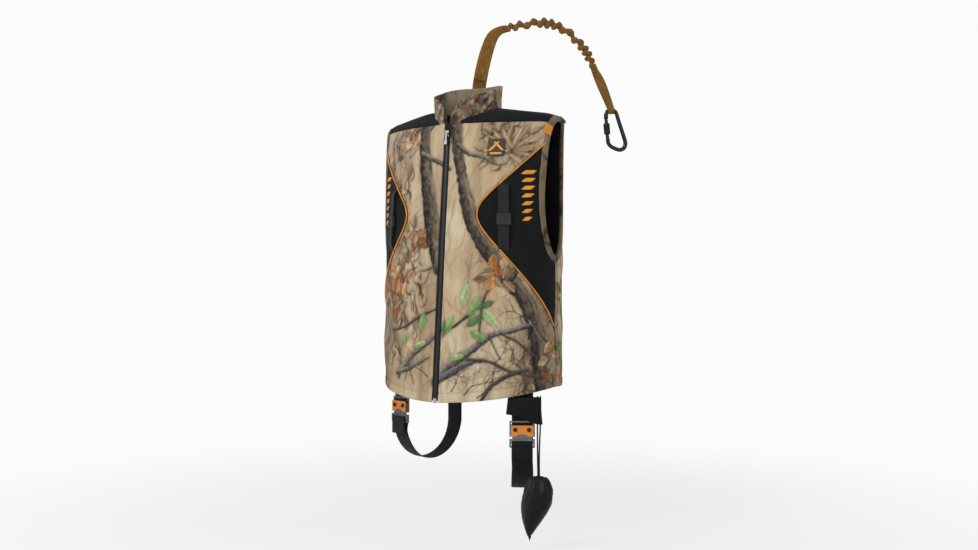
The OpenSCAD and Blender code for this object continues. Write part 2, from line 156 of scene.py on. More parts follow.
# ---------------------------------------------------------------- vest surface, in millimetres
HALF_WIDTH, HALF_DEPTH = 217.0, 140.0
FRONT_DIP, BACK_DIP = 33.0, 8.0
NECK_TH, ARM_TH = 30.0, 72.0
NECK_W, NECK_FRONT_Y, NECK_BACK_Y = 75.0, -90.0, 60.0
NECK_FRONT_Z, NECK_Z, NECK_BACK_Z = 565.0, 606.0, 610.0
SHOULDER = (237.0, 15.0, 583.0)
ARM_Z, ARM_RISE, ARM_BITE, SEAM_TH = 280.0, 150.0, 18.0, 89.6
WAIST_TH, WAIST_Z = 27.5, 370.0
ZIP_TH = 2.9
YOKE_BACK_Z = 502.0
SHELL_T = 3.5
LINING_NEAR, LINING_T = 4.6, 1.2


def mix(a, b, t):
    return a + (b - a) * t


def ease(t):
    c = np.clip(t, 0, 1)
    return c * c * (3 - 2 * c)


def sin(a):
    return np.sin(np.radians(a))


def cos(a):
    return np.cos(np.radians(a))


def unit(v):
    return v / np.maximum(np.linalg.norm(v, axis=-1, keepdims=True), 1e-9)


def run_of(points):
    """Distance of each point along its line."""
    return np.concatenate([[0], np.cumsum(np.linalg.norm(np.diff(points, axis=0), axis=1))])


def sample(run, points, s):
    """Points of a line at the distances s."""
    return np.stack([np.interp(s, run, points[:, k]) for k in range(3)], -1)


def hem_z(a):
    c = cos(a)
    return np.where(a < 90, -FRONT_DIP * np.maximum(c, 0) ** 1.5, -BACK_DIP * c * c)


def crown(a):
    """Upper end of each meridian: the neckline, then the shoulder seam."""
    m = np.where(a <= 90, a, 180 - a)
    front = a <= 90
    turn = np.clip(90 * m / NECK_TH, 0, 90)
    t = np.clip((m - NECK_TH) / (ARM_TH - NECK_TH), 0, 1)
    at_neck = m <= NECK_TH
    x = np.where(at_neck, NECK_W * np.maximum(sin(turn), 0) ** 1.19, mix(NECK_W, SHOULDER[0], t))
    neck_y = np.where(front, NECK_FRONT_Y, NECK_BACK_Y) * cos(turn)
    y = np.where(at_neck, neck_y, mix(0, SHOULDER[1], t))
    low = np.where(front, NECK_FRONT_Z, NECK_BACK_Z)
    z = np.where(at_neck, mix(low, NECK_Z, turn / 90), mix(NECK_Z, SHOULDER[2], t))
    return x, y, z


def fullness(a):
    front = mix(1, 3.4, ease(a / 35))
    back = mix(2.4, 3.4, ease((180 - a) / 35))
    return np.where(a <= 90, front, back)


def inward(v, n):
    return 1 - np.maximum(0, 1 - np.maximum(v, 0) ** n) ** (1 / n)


def height_share(s, n):
    return np.maximum(0, 1 - np.maximum(0, 1 - s) ** n) ** (1 / n)


def surf(th, v, s=None):
    """Points at angles th (0 front centre, 90 wearer's left, 180 back) and height share v."""
    th = np.asarray(th, float)
    a = np.where(th <= 180, th, 360 - th)
    side = np.where(th <= 180, 1.0, -1.0)
    e = np.where(a < 90, 1.11, 0.909)
    hx = HALF_WIDTH * np.maximum(sin(a), 0) ** e
    hy = -np.sign(cos(a)) * HALF_DEPTH * np.abs(cos(a)) ** e
    tx, ty, tz = crown(a)
    n = fullness(a)
    if s is None:
        s = inward(v, n)
    else:
        v = height_share(s, n)
    return np.stack([side * mix(hx, tx, s), mix(hy, ty, s), mix(hem_z(a), tz, v)], -1)


def share_v(th, z):
    a = np.where(th <= 180, th, 360 - th)
    return (z - hem_z(a)) / (crown(a)[2] - hem_z(a))


def at_z(th, z):
    return surf(th, share_v(th, z))


def share_in(th, z):
    return inward(share_v(th, z), fullness(th))


def over(th, z0, z1, t):
    """Points over the shoulder: t from height z0 in front to z1 behind."""
    front = surf(th, None, mix(share_in(th, z0), 1, np.clip(t / 0.4, 0, 1)))
    back = surf(180 - th, None, mix(1, share_in(180 - th, z1), np.clip((t - 0.4) / 0.6, 0, 1)))
    return np.where((t < 0.4)[..., None], front, back)


def inset_edge(z):
    spread = np.where(z > WAIST_Z, 0.35, 0.29)
    return WAIST_TH + spread * (np.hypot(z - WAIST_Z, 36) - 36)


def armhole_edge(z):
    t = np.clip((z - ARM_Z) / ARM_RISE, 0, 1)
    return np.where(z < ARM_Z, SEAM_TH, 90 - ARM_BITE * np.sqrt(np.maximum(0, 1 - (1 - t) ** 2)))


ARC_TH = np.linspace(0, 180, 721)
ARC = run_of(surf(ARC_TH, np.zeros(721))[:, :2])


def arc_of(th):
    """Signed distance round the hem from the front centre, in mm: positive on the wearer's left."""
    a = np.where(th <= 180, th, 360 - th)
    return np.where(th <= 180, 1, -1) * np.interp(a, ARC_TH, ARC)


# ---------------------------------------------------------------- noise and cloth relief
def lattice_noise(x, y, cell, seed):
    """Smooth noise from -1 to 1 with features about cell mm across."""
    table = np.random.default_rng(seed).uniform(-1, 1, (64, 64))
    gx, gy = np.asarray(x) / cell + 17.3, np.asarray(y) / cell + 23.7
    ix, iy = np.floor(gx).astype(int), np.floor(gy).astype(int)
    fx, fy = ease(gx - ix), ease(gy - iy)
    c00, c10 = table[ix % 64, iy % 64], table[(ix + 1) % 64, iy % 64]
    c01, c11 = table[ix % 64, (iy + 1) % 64], table[(ix + 1) % 64, (iy + 1) % 64]
    return mix(mix(c00, c10, fx), mix(c01, c11, fx), fy)


def cloud(x, y, cell, seed, octaves=4):
    total = 0
    for k in range(octaves):
        total = total + lattice_noise(x, y, cell / 2 ** k, seed + k) / 2 ** k
    return total / 1.9


# Soft folds: arc and height of each end, height of the fold and its width, in mm.
FOLDS = [
    (-60, 60, -150, 150, 3.2, 20), (-90, 10, -190, 60, 3.0, 18), (60, 20, 150, 110, 2.6, 20),
    (95, -5, 200, 70, 3.0, 18), (40, 180, 100, 250, 2.0, 18), (-40, 200, -95, 270, 2.4, 16),
    (140, 60, 215, 150, 3.4, 18), (-130, 120, -205, 210, 3.6, 18), (180, 10, 235, 90, 3.2, 20),
    (-200, 30, -240, 120, 3.2, 20), (70, 330, 30, 420, 1.8, 16), (-75, 330, -35, 420, 2.0, 16),
    (60, 520, 120, 470, 2.0, 16), (-60, 520, -120, 470, 2.2, 16), (120, 545, 190, 520, 1.8, 12),
    (-120, 545, -190, 520, 1.8, 12), (250, 20, 330, 140, 3.4, 24), (-250, 20, -330, 140, 3.4, 24),
    (400, 60, 470, 200, 3.2, 26), (-400, 60, -470, 200, 3.2, 26), (300, 250, 380, 330, 2.8, 22),
    (-300, 250, -380, 330, 2.8, 22), (480, 330, 560, 250, 2.4, 22), (-480, 330, -560, 250, 2.4, 22),
]


def fold_relief(x, z):
    total = np.zeros(np.broadcast(x, z).shape)
    for x0, z0, x1, z1, height, width in FOLDS:
        dx, dz = x1 - x0, z1 - z0
        length = math.hypot(dx, dz)
        along = ((x - x0) * dx + (z - z0) * dz) / length
        off = ((x - x0) * -dz + (z - z0) * dx) / length + 6 * np.sin(along / 26)
        body = ease((along + 30) / 60) * ease((length + 30 - along) / 60)
        ridge = np.exp(-(off / width) ** 2)
        hollow = 0.55 * np.exp(-((off - width * 1.5) / width) ** 2)
        total += height * body * (ridge - hollow)
    return total


def relief(th, z):
    """How far the shell's cloth stands off its plain surface, in mm."""
    x = arc_of(th)
    a = np.where(th <= 180, th, 360 - th)
    out = fold_relief(x, z) + 1.6 * cloud(x, z, 90, 3, 2) + 0.35 * cloud(x, z, 16, 9, 2)
    out = out * ease((z + 40) / 50) * ease((600 - z) / 60)
    out = out * mix(0.25, 1, ease((np.abs(x) - 9) / 40))
    out -= 1.1 * np.exp(-((z - hem_z(a) - 20) / 2.0) ** 2)
    out += 0.8 * ease((hem_z(a) + 20 - z) / 5)
    return out


# ---------------------------------------------------------------- meshes
def new_object(name, verts, faces, smooth=True):
    mesh = bpy.data.meshes.new(name)
    points = np.asarray(verts, float).reshape(-1, 3).tolist()
    mesh.from_pydata(points, [], [list(map(int, f)) for f in faces])
    mesh.update()
    if smooth:
        mesh.polygons.foreach_set("use_smooth", [True] * len(mesh.polygons))
    obj = bpy.data.objects.new(name, mesh)
    bpy.context.scene.collection.objects.link(obj)
    return obj


OUTSIDE_IN = [0, 3, 2, 1]  # order of a quad's corners that turns it over


def grid_faces(nu, nv, wrap_u=False, wrap_v=False):
    """Quads of a grid of nu x nv points, closed round either way."""
    rows, columns = np.arange(nu if wrap_u else nu - 1), np.arange(nv if wrap_v else nv - 1)
    i, j = np.meshgrid(rows, columns, indexing="ij")
    i2, j2 = (i + 1) % nu, (j + 1) % nv
    return np.stack([i * nv + j, i2 * nv + j, i2 * nv + j2, i * nv + j2], -1).reshape(-1, 4)


def grid_normals(p):
    return unit(np.cross(np.gradient(p, axis=0), np.gradient(p, axis=1)))


def uv_grid(nu, nv):
    return np.meshgrid(np.linspace(0, 1, nu), np.linspace(0, 1, nv), indexing="ij")


def put_colours(obj, rgb):
    """Stores each point's colour of the print."""
    rgb = rgb.reshape(-1, 3)
    layer = obj.data.attributes.new("print", "FLOAT_COLOR", "POINT")
    rgba = np.concatenate([rgb, np.ones((len(rgb), 1))], 1)
    layer.data.foreach_set("color", rgba.astype(np.float32).ravel())


def sheet(name, p, lift, thick, material, colours=None):
    """One cloth sheet from a grid of points in mm, lifted along its normal and given a thickness."""
    q = p + grid_normals(p) * np.asarray(lift)[..., None]
    nu, nv = p.shape[:2]
    obj = new_object(name, q * MM, grid_faces(nu, nv))
    if colours is not None:
        put_colours(obj, colours)
    if thick:
        solid = obj.modifiers.new("thickness", "SOLIDIFY")
        solid.thickness = thick * MM
        solid.offset = -1
        solid.use_even_offset = False
    obj.data.materials.append(material)
    return obj


def frames_along(path):
    """Tangents and two cross directions along a line of points, with no sudden twist."""
    t = unit(np.gradient(path, axis=0))
    up = np.cross(t[0], [0.3, 0.2, 1.0])
    side = []
    for k in range(len(path)):
        up = unit(up - t[k] * np.dot(up, t[k]))
        side.append(up)
    side = np.array(side)
    return t, side, np.cross(t, side)


def across_path(side, t):
    """Unit directions at right angles to the tangents t, nearest to side."""
    return unit(side - t * np.sum(side * t, 1, keepdims=True))


def tube(name, path, radius, material, sides=10, side=None, flat=1.0, closed=False):
    """Round or oval bar along a path in mm. radius may vary; side sets the first cross direction."""
    path = np.asarray(path, float)
    t, a, b = frames_along(path)
    if side is not None:
        a = across_path(side, t)
        b = np.cross(t, a)
    r = np.broadcast_to(radius, len(path))[:, None, None]
    ang = np.linspace(0, 2 * np.pi, sides, endpoint=False)[:, None]
    pts = path[:, None] + (np.cos(ang) * a[:, None] + np.sin(ang) * b[:, None] * flat) * r
    faces = grid_faces(len(path), sides, closed, True)[:, OUTSIDE_IN].tolist()
    if not closed:
        faces.append(list(range(sides))[::-1])
        faces.append([(len(path) - 1) * sides + k for k in range(sides)])
    obj = new_object(name, pts * MM, faces)
    obj.data.materials.append(material)
    return obj


def ribbon(name, path, side, width, thick, material, cross=9):
    """Flat webbing along a path in mm. side is its width direction; the edges are rounded."""
    path = np.asarray(path, float)
    t = unit(np.gradient(path, axis=0))
    a = across_path(np.asarray(side, float), t)
    b = np.cross(t, a)
    w = np.broadcast_to(width, len(path))[:, None]
    h = np.broadcast_to(thick, len(path))[:, None]
    u = np.linspace(-1, 1, cross)[None, :]
    edge = np.sqrt(np.maximum(0, 1 - np.abs(u) ** 8)) * 0.8 + 0.2
    middle = path[:, None] + a[:, None] * (u * w / 2)[..., None]
    swell = b[:, None] * (h / 2 * edge)[..., None]
    pts = np.concatenate([middle + swell, (middle - swell)[:, ::-1]], 1)
    m, c = pts.shape[:2]
    faces = grid_faces(m, c, False, True).tolist()
    faces.append(list(range(c)))
    faces.append([(m - 1) * c + k for k in range(c)][::-1])
    obj = new_object(name, pts * MM, faces)
    obj.data.materials.append(material)
    return obj


def join(name, objs):
    """One object out of several."""
    picked = {"active_object": objs[0], "selected_editable_objects": objs, "selected_objects": objs}
    with bpy.context.temp_override(**picked):
        bpy.ops.object.join()
    objs[0].name = name
    objs[0].data.name = name
    return objs[0]


# ---------------------------------------------------------------- materials
class Nodes:
    """Short way to build a node tree."""

    def __init__(self, name):
        self.material = bpy.data.materials.new(name)
        self.material.use_nodes = True
        self.tree = self.material.node_tree
        self.shader = self.tree.nodes["Principled BSDF"]

    def add(self, kind, inputs=None, **settings):
        node = self.tree.nodes.new(kind)
        for key, value in settings.items():
            setattr(node, key, value)
        for key, value in (inputs or {}).items():
            if isinstance(value, bpy.types.NodeSocket):
                self.tree.links.new(value, node.inputs[key])
            else:
                node.inputs[key].default_value = value
        return node

    def place(self, scale=1.0, stretch=(1, 1, 1)):
        coord = self.add("ShaderNodeTexCoord").outputs["Object"]
        size = tuple(scale * s for s in stretch)
        return self.add("ShaderNodeMapping", {"Vector": coord, "Scale": size}).outputs["Vector"]

    def noise(self, scale, detail=3.0, stretch=(1, 1, 1)):
        inputs = {"Vector": self.place(1, stretch), "Scale": scale, "Detail": detail}
        return self.add("ShaderNodeTexNoise", inputs).outputs["Fac"]

    def wave(self, scale, direction="Z", distortion=0.0):
        inputs = {"Vector": self.place(), "Scale": scale, "Distortion": distortion}
        return self.add("ShaderNodeTexWave", inputs, bands_direction=direction).outputs["Fac"]

    def math(self, op, a, b=0.5):
        return self.add("ShaderNodeMath", {0: a, 1: b}, operation=op).outputs[0]

    def ramp(self, fac, stops):
        node = self.add("ShaderNodeValToRGB", {"Fac": fac})
        elements = node.color_ramp.elements
        for k, (pos, colour) in enumerate(stops):
            e = elements[k] if k < 2 else elements.new(pos)
            e.position = pos
            e.color = (*colour, 1)
        return node.outputs["Color"]

    def blend(self, fac, a, b, mode="MIX"):
        node = self.add("ShaderNodeMix", {0: fac}, data_type="RGBA", blend_type=mode)
        for index, value in ((6, a), (7, b)):
            if isinstance(value, bpy.types.NodeSocket):
                self.tree.links.new(value, node.inputs[index])
            else:
                node.inputs[index].default_value = (*value, 1)
        return node.outputs[2]

    def bump(self, height, strength, distance):
        inputs = {"Height": height, "Strength": strength, "Distance": distance}
        return self.add("ShaderNodeBump", inputs).outputs["Normal"]

    def finish(self, colour, roughness, normal=None, **extra):
        pairs = {"Base Color": colour, "Roughness": roughness}
        pairs.update((key.replace("_", " "), value) for key, value in extra.items())
        if normal is not None:
            pairs["Normal"] = normal
        for key, value in pairs.items():
            if isinstance(value, bpy.types.NodeSocket):
                self.tree.links.new(value, self.shader.inputs[key])
            elif isinstance(value, tuple):
                self.shader.inputs[key].default_value = (*value, 1)
            else:
                self.shader.inputs[key].default_value = value
        return self.material


def weave(n, scale=900):
    """Fine crossed threads, as bump height."""
    warp, weft = (n.math("MULTIPLY", n.wave(scale, axis), 0.5) for axis in "XZ")
    return n.math("ADD", warp, weft)


def camo_material():
    n = Nodes("camo_print")
    printed = n.add("ShaderNodeAttribute", attribute_name="print").outputs["Color"]
    fibre = n.ramp(n.noise(700, 4), [(0.3, (0.80, 0.79, 0.78)), (0.7, (1.12, 1.12, 1.12))])
    patchy = n.ramp(n.noise(14, 3), [(0.3, (0.90, 0.89, 0.87)), (0.7, (1.05, 1.05, 1.05))])
    colour = n.blend(1.0, n.blend(1.0, printed, fibre, "MULTIPLY"), patchy, "MULTIPLY")
    height = n.math("ADD", weave(n, 700), n.noise(350, 3))
    rough = n.math("ADD", n.math("MULTIPLY", n.noise(60), 0.2), 0.68)
    return n.finish(colour, rough, n.bump(height, 0.35, 0.0006), Sheen_Weight=0.1, Sheen_Roughness=0.5,
                    Specular_IOR_Level=0.2)


def cloth_material(name, colour, scale=800, bump=0.4, rough=0.8, sheen=0.3, vary=0.25):
    n = Nodes(name)
    dark = tuple(c * (1 - vary) for c in colour)
    light = tuple(min(1, c * (1 + vary) + 0.001) for c in colour)
    base = n.ramp(n.noise(40, 4), [(0.3, dark), (0.7, light)])
    thread = n.ramp(weave(n, scale), [(0.2, (0.7, 0.7, 0.7)), (0.8, (1.2, 1.2, 1.2))])
    colour = n.blend(1.0, base, thread, "MULTIPLY")
    return n.finish(colour, rough, n.bump(weave(n, scale), bump, 0.0006), Sheen_Weight=sheen,
                    Sheen_Roughness=0.45, Specular_IOR_Level=0.18)


def metal_material(name, colour, rough, metallic=1.0, wear=0.3, coat=0.0):
    n = Nodes(name)
    scratch = n.noise(260, 5, (1, 1, 6))
    base = n.ramp(n.noise(35, 4), [(0.3, tuple(c * (1 - wear) for c in colour)), (0.75, colour)])
    edge = n.ramp(scratch, [(0.55, (1, 1, 1)), (0.72, (1.35, 1.35, 1.35))])
    colour = n.blend(1.0, base, edge, "MULTIPLY")
    roughness = n.math("ADD", n.math("MULTIPLY", scratch, 0.25), rough)
    return n.finish(colour, roughness, n.bump(scratch, 0.12, 0.0004), Metallic=metallic, Coat_Weight=coat)


def plastic_material(name, colour, rough=0.45):
    n = Nodes(name)
    grain = n.noise(900, 2)
    dark, light = (tuple(c * gain for c in colour) for gain in (0.8, 1.2))
    base = n.ramp(n.noise(50, 3), [(0.3, dark), (0.7, light)])
    roughness = n.math("ADD", n.math("MULTIPLY", grain, 0.2), rough)
    return n.finish(base, roughness, n.bump(grain, 0.15, 0.0003))


CAMO = camo_material()
BLACK = cloth_material("black_stretch", (0.006, 0.0075, 0.008), 700, 0.35, 0.8, 0.05)
MESH = cloth_material("black_lining", (0.006, 0.006, 0.0065), 420, 0.6, 0.85, 0.04)
WEB = cloth_material("black_webbing", (0.008, 0.008, 0.009), 520, 0.7, 0.6, 0.06)
GREY_WEB = cloth_material("grey_webbing", (0.022, 0.023, 0.024), 520, 0.7, 0.6, 0.08)
COYOTE = cloth_material("coyote_webbing", (0.27, 0.125, 0.022), 520, 0.8, 0.65, 0.1)
COYOTE_DARK = cloth_material("coyote_thread", (0.62, 0.30, 0.05), 900, 0.4, 0.6, 0.1)
ORANGE = cloth_material("orange_cord", (0.80, 0.30, 0.02), 1200, 0.5, 0.5, 0.3)
THREAD = cloth_material("tan_thread", (0.34, 0.29, 0.22), 1500, 0.3, 0.7, 0.2)
TAPE = cloth_material("zip_tape", (0.010, 0.010, 0.011), 900, 0.5, 0.7, 0.1)
TEETH = plastic_material("zip_teeth", (0.02, 0.02, 0.022), 0.3)
CHROME = metal_material("zip_metal", (0.72, 0.72, 0.74), 0.16, wear=0.15)
GREY_METAL = metal_material("buckle_grey", (0.20, 0.215, 0.225), 0.30, coat=0.2)
ORANGE_METAL = metal_material("buckle_orange", (0.85, 0.27, 0.02), 0.28, 0.45, coat=0.4)
DARK_METAL = metal_material("dark_oxide", (0.028, 0.028, 0.030), 0.32, 0.7)
BAR_METAL = metal_material("bar_steel", (0.45, 0.46, 0.47), 0.25)
GUNMETAL = metal_material("gunmetal", (0.030, 0.033, 0.037), 0.24, 0.75, coat=0.3)
PLASTIC = plastic_material("black_plastic", (0.022, 0.022, 0.025))
PATCH_MARK = plastic_material("patch_mark", (0.85, 0.32, 0.02), 0.5)


# ---------------------------------------------------------------- woodland print, painted at 1 mm per cell
# x runs round the vest from the zip, z up it.
PRINT_X0, PRINT_Z0 = -602, -46
GX, GZ = np.meshgrid(np.arange(PRINT_X0, 603.0), np.arange(PRINT_Z0, 692.0))


def tone(r, g, b):
    """Screen colour, 0 to 255, as a linear colour."""
    c = np.array([r, g, b]) / 255
    return np.where(c <= 0.04045, c / 12.92, ((c + 0.055) / 1.055) ** 2.4)


def smooth_line(points, steps=5):
    """Rounded line through points (x, z, radius)."""
    p = np.asarray(points, float)
    p = np.concatenate([[2 * p[0] - p[1]], p, [2 * p[-1] - p[-2]]])
    out = []
    for k in range(1, len(p) - 2):
        for t in np.linspace(0, 1, steps, endpoint=False):
            a, b, c, d = p[k - 1], p[k], p[k + 1], p[k + 2]
            out.append(0.5 * (2 * b + (c - a) * t + (2 * a - 5 * b + 4 * c - d) * t * t
                              + (3 * b - a - 3 * c + d) * t ** 3))
    return np.array(out + [p[-2]])


def away(x, z, angle, length):
    """Place at a distance from (x, z); angle 90 is upwards."""
    return x + length * math.cos(math.radians(angle)), z + length * math.sin(math.radians(angle))


def window(x0, x1, z0, z1):
    i0, i1 = int(max(0, x0 - PRINT_X0)), int(min(GX.shape[1], x1 - PRINT_X0 + 1))
    j0, j1 = int(max(0, z0 - PRINT_Z0)), int(min(GX.shape[0], z1 - PRINT_Z0 + 1))
    return (slice(j0, j1), slice(i0, i1)) if i1 > i0 and j1 > j0 else None


def lay(canvas, area, cover, colour):
    canvas[area] += cover[..., None] * (colour - canvas[area])


def stroke(canvas, points, light, dark, soft=1.4, bark=0.0, shadow=0.0, strength=1.0, seed=5):
    """Branch or trunk: lit on one side, with bark streaks and a soft shadow."""
    line = smooth_line(points)
    reach = line[:, 2].max() + 14 + soft
    (x0, z0), (x1, z1) = line[:, :2].min(0) - reach, line[:, :2].max(0) + reach
    area = window(x0, x1, z0, z1)
    if area is None:
        return
    x, z = GX[area], GZ[area]
    rough = 2.2 * bark * lattice_noise(x, z, 9, seed) + 1.2 * bark * lattice_noise(x, z, 4, seed + 1)
    best = np.full(x.shape, 1e9)
    side = np.zeros(x.shape)
    along = np.zeros(x.shape)
    run = 0.0
    for a, b in zip(line[:-1], line[1:]):
        d = b[:2] - a[:2]
        length = math.hypot(*d) + 1e-9
        t = np.clip(((x - a[0]) * d[0] + (z - a[1]) * d[1]) / length ** 2, 0, 1)
        radius = mix(a[2], b[2], t)
        ox, oz = x - a[0] - t * d[0], z - a[1] - t * d[1]
        gap = np.hypot(ox, oz) - radius
        near = gap < best
        best = np.where(near, gap, best)
        side = np.where(near, (ox * -d[1] + oz * d[0]) / length / np.maximum(radius, 0.6), side)
        along = np.where(near, run + t * length, along)
        run += length
    if shadow:
        dim = shadow * np.clip(1 - (best + 1) / 9, 0, 1) ** 2
        canvas[area] *= 1 - dim[..., None]
    cover = np.clip(0.5 - (best + rough) / soft, 0, 1) * strength
    lit = ease(0.5 + 0.55 * side + 0.25 * lattice_noise(side * 14, along, 5, seed + 2))
    body = mix(dark, light, lit[..., None])
    if bark:
        grain = lattice_noise(side * 22, along * 0.16, 6, seed + 3)
        grain = grain + 0.6 * lattice_noise(side * 30, along * 0.6, 6, seed + 4)
        crack = np.clip(lattice_noise(side * 16, along * 0.22, 5, seed + 6) - 0.4, 0, 1)
        body = body * np.clip(1 + bark * 0.42 * grain - bark * 1.1 * crack, 0.3, 1.8)[..., None]
    lay(canvas, area, cover, body)


def leaf(canvas, x0, z0, angle, length, width, colour, vein, lobes=4.0, strength=1.0, curl=0.0):
    """Lobed leaf with a midrib and side veins; angle is its direction, 90 upwards."""
    reach = length * 1.15
    area = window(x0 - reach, x0 + reach, z0 - reach, z0 + reach)
    if area is None:
        return
    x, z = GX[area] - x0, GZ[area] - z0
    c, s = math.cos(math.radians(angle)), math.sin(math.radians(angle))
    p = (x * c + z * s) / length
    q = (-x * s + z * c) / width - curl * p * p * 2
    inside = (p > 0) & (p < 1)
    body = np.sin(np.pi * np.clip(p, 0, 1)) ** 0.75 * (0.72 + 0.28 * np.abs(np.cos(np.pi * lobes * p)))
    gap = (np.abs(q) - body) * width
    cover = np.where(inside, np.clip(0.5 - gap / 1.4, 0, 1), 0) * strength
    half = np.where(q > 0, 1.14, 0.82)
    shade = half * (0.86 + 0.28 * lattice_noise(x, z, 6, int(abs(x0) * 7 + abs(z0))) + 0.2 * p)
    paint = colour * np.clip(shade, 0.3, 1.6)[..., None]
    rib = np.exp(-(q * width / 0.9) ** 2)
    side_rib = np.exp(-((np.mod(p * 9 - np.abs(q) * 1.6, 1) - 0.5) / 0.10) ** 2) * 0.55
    rim = np.exp(-(gap / 1.2) ** 2) * 0.5
    paint = mix(paint, vein, np.clip(rib + side_rib, 0, 1)[..., None] * 0.6)
    paint = paint * (1 - 0.6 * rim[..., None])
    dim = np.where((p > -0.1) & (p < 1.1), np.clip(1 - (gap - 1) / 6, 0, 1), 0) ** 2 * 0.28 * strength
    canvas[area] *= 1 - (dim * (1 - cover))[..., None]
    lay(canvas, area, cover, paint)


def twig(canvas, draw, x, z, angle, length, radius, depth):
    """Forked fine twig."""
    mid = away(x, z, angle + draw.uniform(-16, 16), 0.5 * length)
    end = away(x, z, angle, length)
    stroke(canvas, [(x, z, radius), (*mid, radius * 0.8), (*end, radius * 0.55)], *TWIG_WOOD, 1.0)
    if depth:
        for turn in (draw.uniform(18, 42), draw.uniform(-46, -20)):
            twig(canvas, draw, *end, angle + turn, length * draw.uniform(0.5, 0.8), radius * 0.62, depth - 1)
        twig(canvas, draw, *mid, angle + draw.choice([-48, 48]), length * 0.5, radius * 0.5, depth - 1)


BARK, BARK_DARK = tone(128, 114, 98), tone(44, 38, 34)
GREY_BARK, BLUE_BARK = tone(150, 140, 124), tone(46, 52, 60)
BROWN, RUST, TAN_LEAF = tone(128, 92, 62), tone(178, 106, 52), tone(206, 172, 132)
DEEP_BROWN = tone(62, 44, 32)
GREEN, LIGHT_GREEN, DARK_GREEN = tone(128, 176, 96), tone(176, 206, 140), tone(64, 112, 62)
VEIN, DARK_VEIN = tone(232, 212, 176), tone(74, 50, 34)
TWIG_WOOD = tone(92, 78, 64), tone(60, 48, 38)
PALE_WOOD = tone(150, 124, 94)
SHADE_BROWN = tone(124, 100, 76)
DRY = [tone(150, 118, 84), tone(112, 86, 62), tone(200, 172, 138), tone(86, 66, 50), tone(222, 200, 170),
       tone(168, 112, 66)]
RUSTS = [RUST, BROWN, TAN_LEAF, tone(150, 118, 84), tone(196, 140, 84)]


def leaf_cluster(canvas, draw, x, z, spread, count, colours, size=26):
    for _ in range(count):
        px, pz = x + draw.normal(0, spread), z + draw.normal(0, spread * 1.1)
        colour = colours[draw.integers(len(colours))] * draw.uniform(0.75, 1.2)
        length = size * draw.uniform(0.7, 1.4)
        rib = VEIN if draw.random() < 0.4 else DARK_VEIN
        leaf(canvas, px, pz, draw.uniform(0, 360), length, length * draw.uniform(0.24, 0.4), colour, rib,
             draw.choice([2.0, 3.0, 4.0]), 0.95, draw.uniform(-0.4, 0.4))


def litter(canvas, draw, x0, x1, z0, z1, count, colours, upright=1.0):
    """Dense short curls of bark and dry leaf."""
    for _ in range(count):
        x, z = draw.uniform(x0, x1), draw.uniform(z0, z1)
        angle, length = draw.normal(90, 90 - 62 * upright), draw.uniform(12, 46)
        r = draw.uniform(1.0, 3.6)
        mid = away(x, z, angle + draw.uniform(-50, 50), 0.5 * length)
        end = away(x, z, angle, length)
        colour = colours[draw.integers(len(colours))] * draw.uniform(0.6, 1.2)
        stroke(canvas, [(x, z, 0.6), (*mid, r), (*end, 0.5)], colour, colour * 0.42, 1.4, 0, 0.22, 0.85,
               draw.integers(999))


def shade_patch(canvas, x, z, rx, rz, amount, colour):
    area = window(x - 2 * rx, x + 2 * rx, z - 2 * rz, z + 2 * rz)
    if area is None:
        return
    d = ((GX[area] - x) / rx) ** 2 + ((GZ[area] - z) / rz) ** 2
    cover = amount * np.exp(-d) * (0.75 + 0.5 * cloud(GX[area], GZ[area], 26, 19, 3))
    lay(canvas, area, np.clip(cover, 0, 1), colour)


def paint_ground(canvas, draw):
    """Tan cloth with soft streaks, and trees and branches that are out of focus."""
    patch = ease(0.5 + 0.9 * cloud(GX, GZ, 130, 21, 4))[..., None]
    canvas[:] = mix(tone(196, 172, 136), tone(222, 206, 174), patch)
    streak = lattice_noise(GX * 3.2, GZ * 0.35, 24, 31) + 0.7 * lattice_noise(GX * 5, GZ * 0.6, 12, 32)
    canvas *= (1 + 0.07 * streak + 0.05 * cloud(GX, GZ, 12, 33, 2))[..., None]
    rosy = ease(cloud(GX, GZ, 170, 41, 3) * 1.3)[..., None]
    canvas[:] = mix(canvas, canvas * np.array([0.84, 0.72, 0.62]), rosy)
    for _ in range(34):
        x = draw.uniform(-600, 600)
        lean = draw.uniform(-60, 60)
        r = draw.uniform(5, 16)
        stroke(canvas, [(x, -60, r), (x + lean * 0.4, 200, r * 0.9), (x + lean, 700, r * 0.7)],
               tone(184, 160, 132), tone(150, 126, 102), 12, 0.3, strength=0.42, seed=draw.integers(999))
    for _ in range(60):
        x, z = draw.uniform(-600, 600), draw.uniform(-40, 680)
        angle, length = draw.uniform(15, 165), draw.uniform(60, 150)
        end = away(x, z, angle, length)
        stroke(canvas, [(x, z, 3), (*end, 1.5)], tone(168, 144, 118), tone(128, 106, 86), 5, 0, strength=0.45)


# Middle, half widths, strength and colour of each shaded patch.
SHADED = [(-150, 190, 60, 120, 0.75, SHADE_BROWN), (-165, 380, 45, 110, 0.6, SHADE_BROWN),
          (-185, 60, 45, 90, 0.7, SHADE_BROWN), (225, 90, 45, 110, 0.7, SHADE_BROWN),
          (160, 520, 60, 40, 0.45, SHADE_BROWN), (-130, 530, 50, 50, 0.5, SHADE_BROWN),
          (236, 60, 34, 90, 0.7, tone(60, 62, 62))]
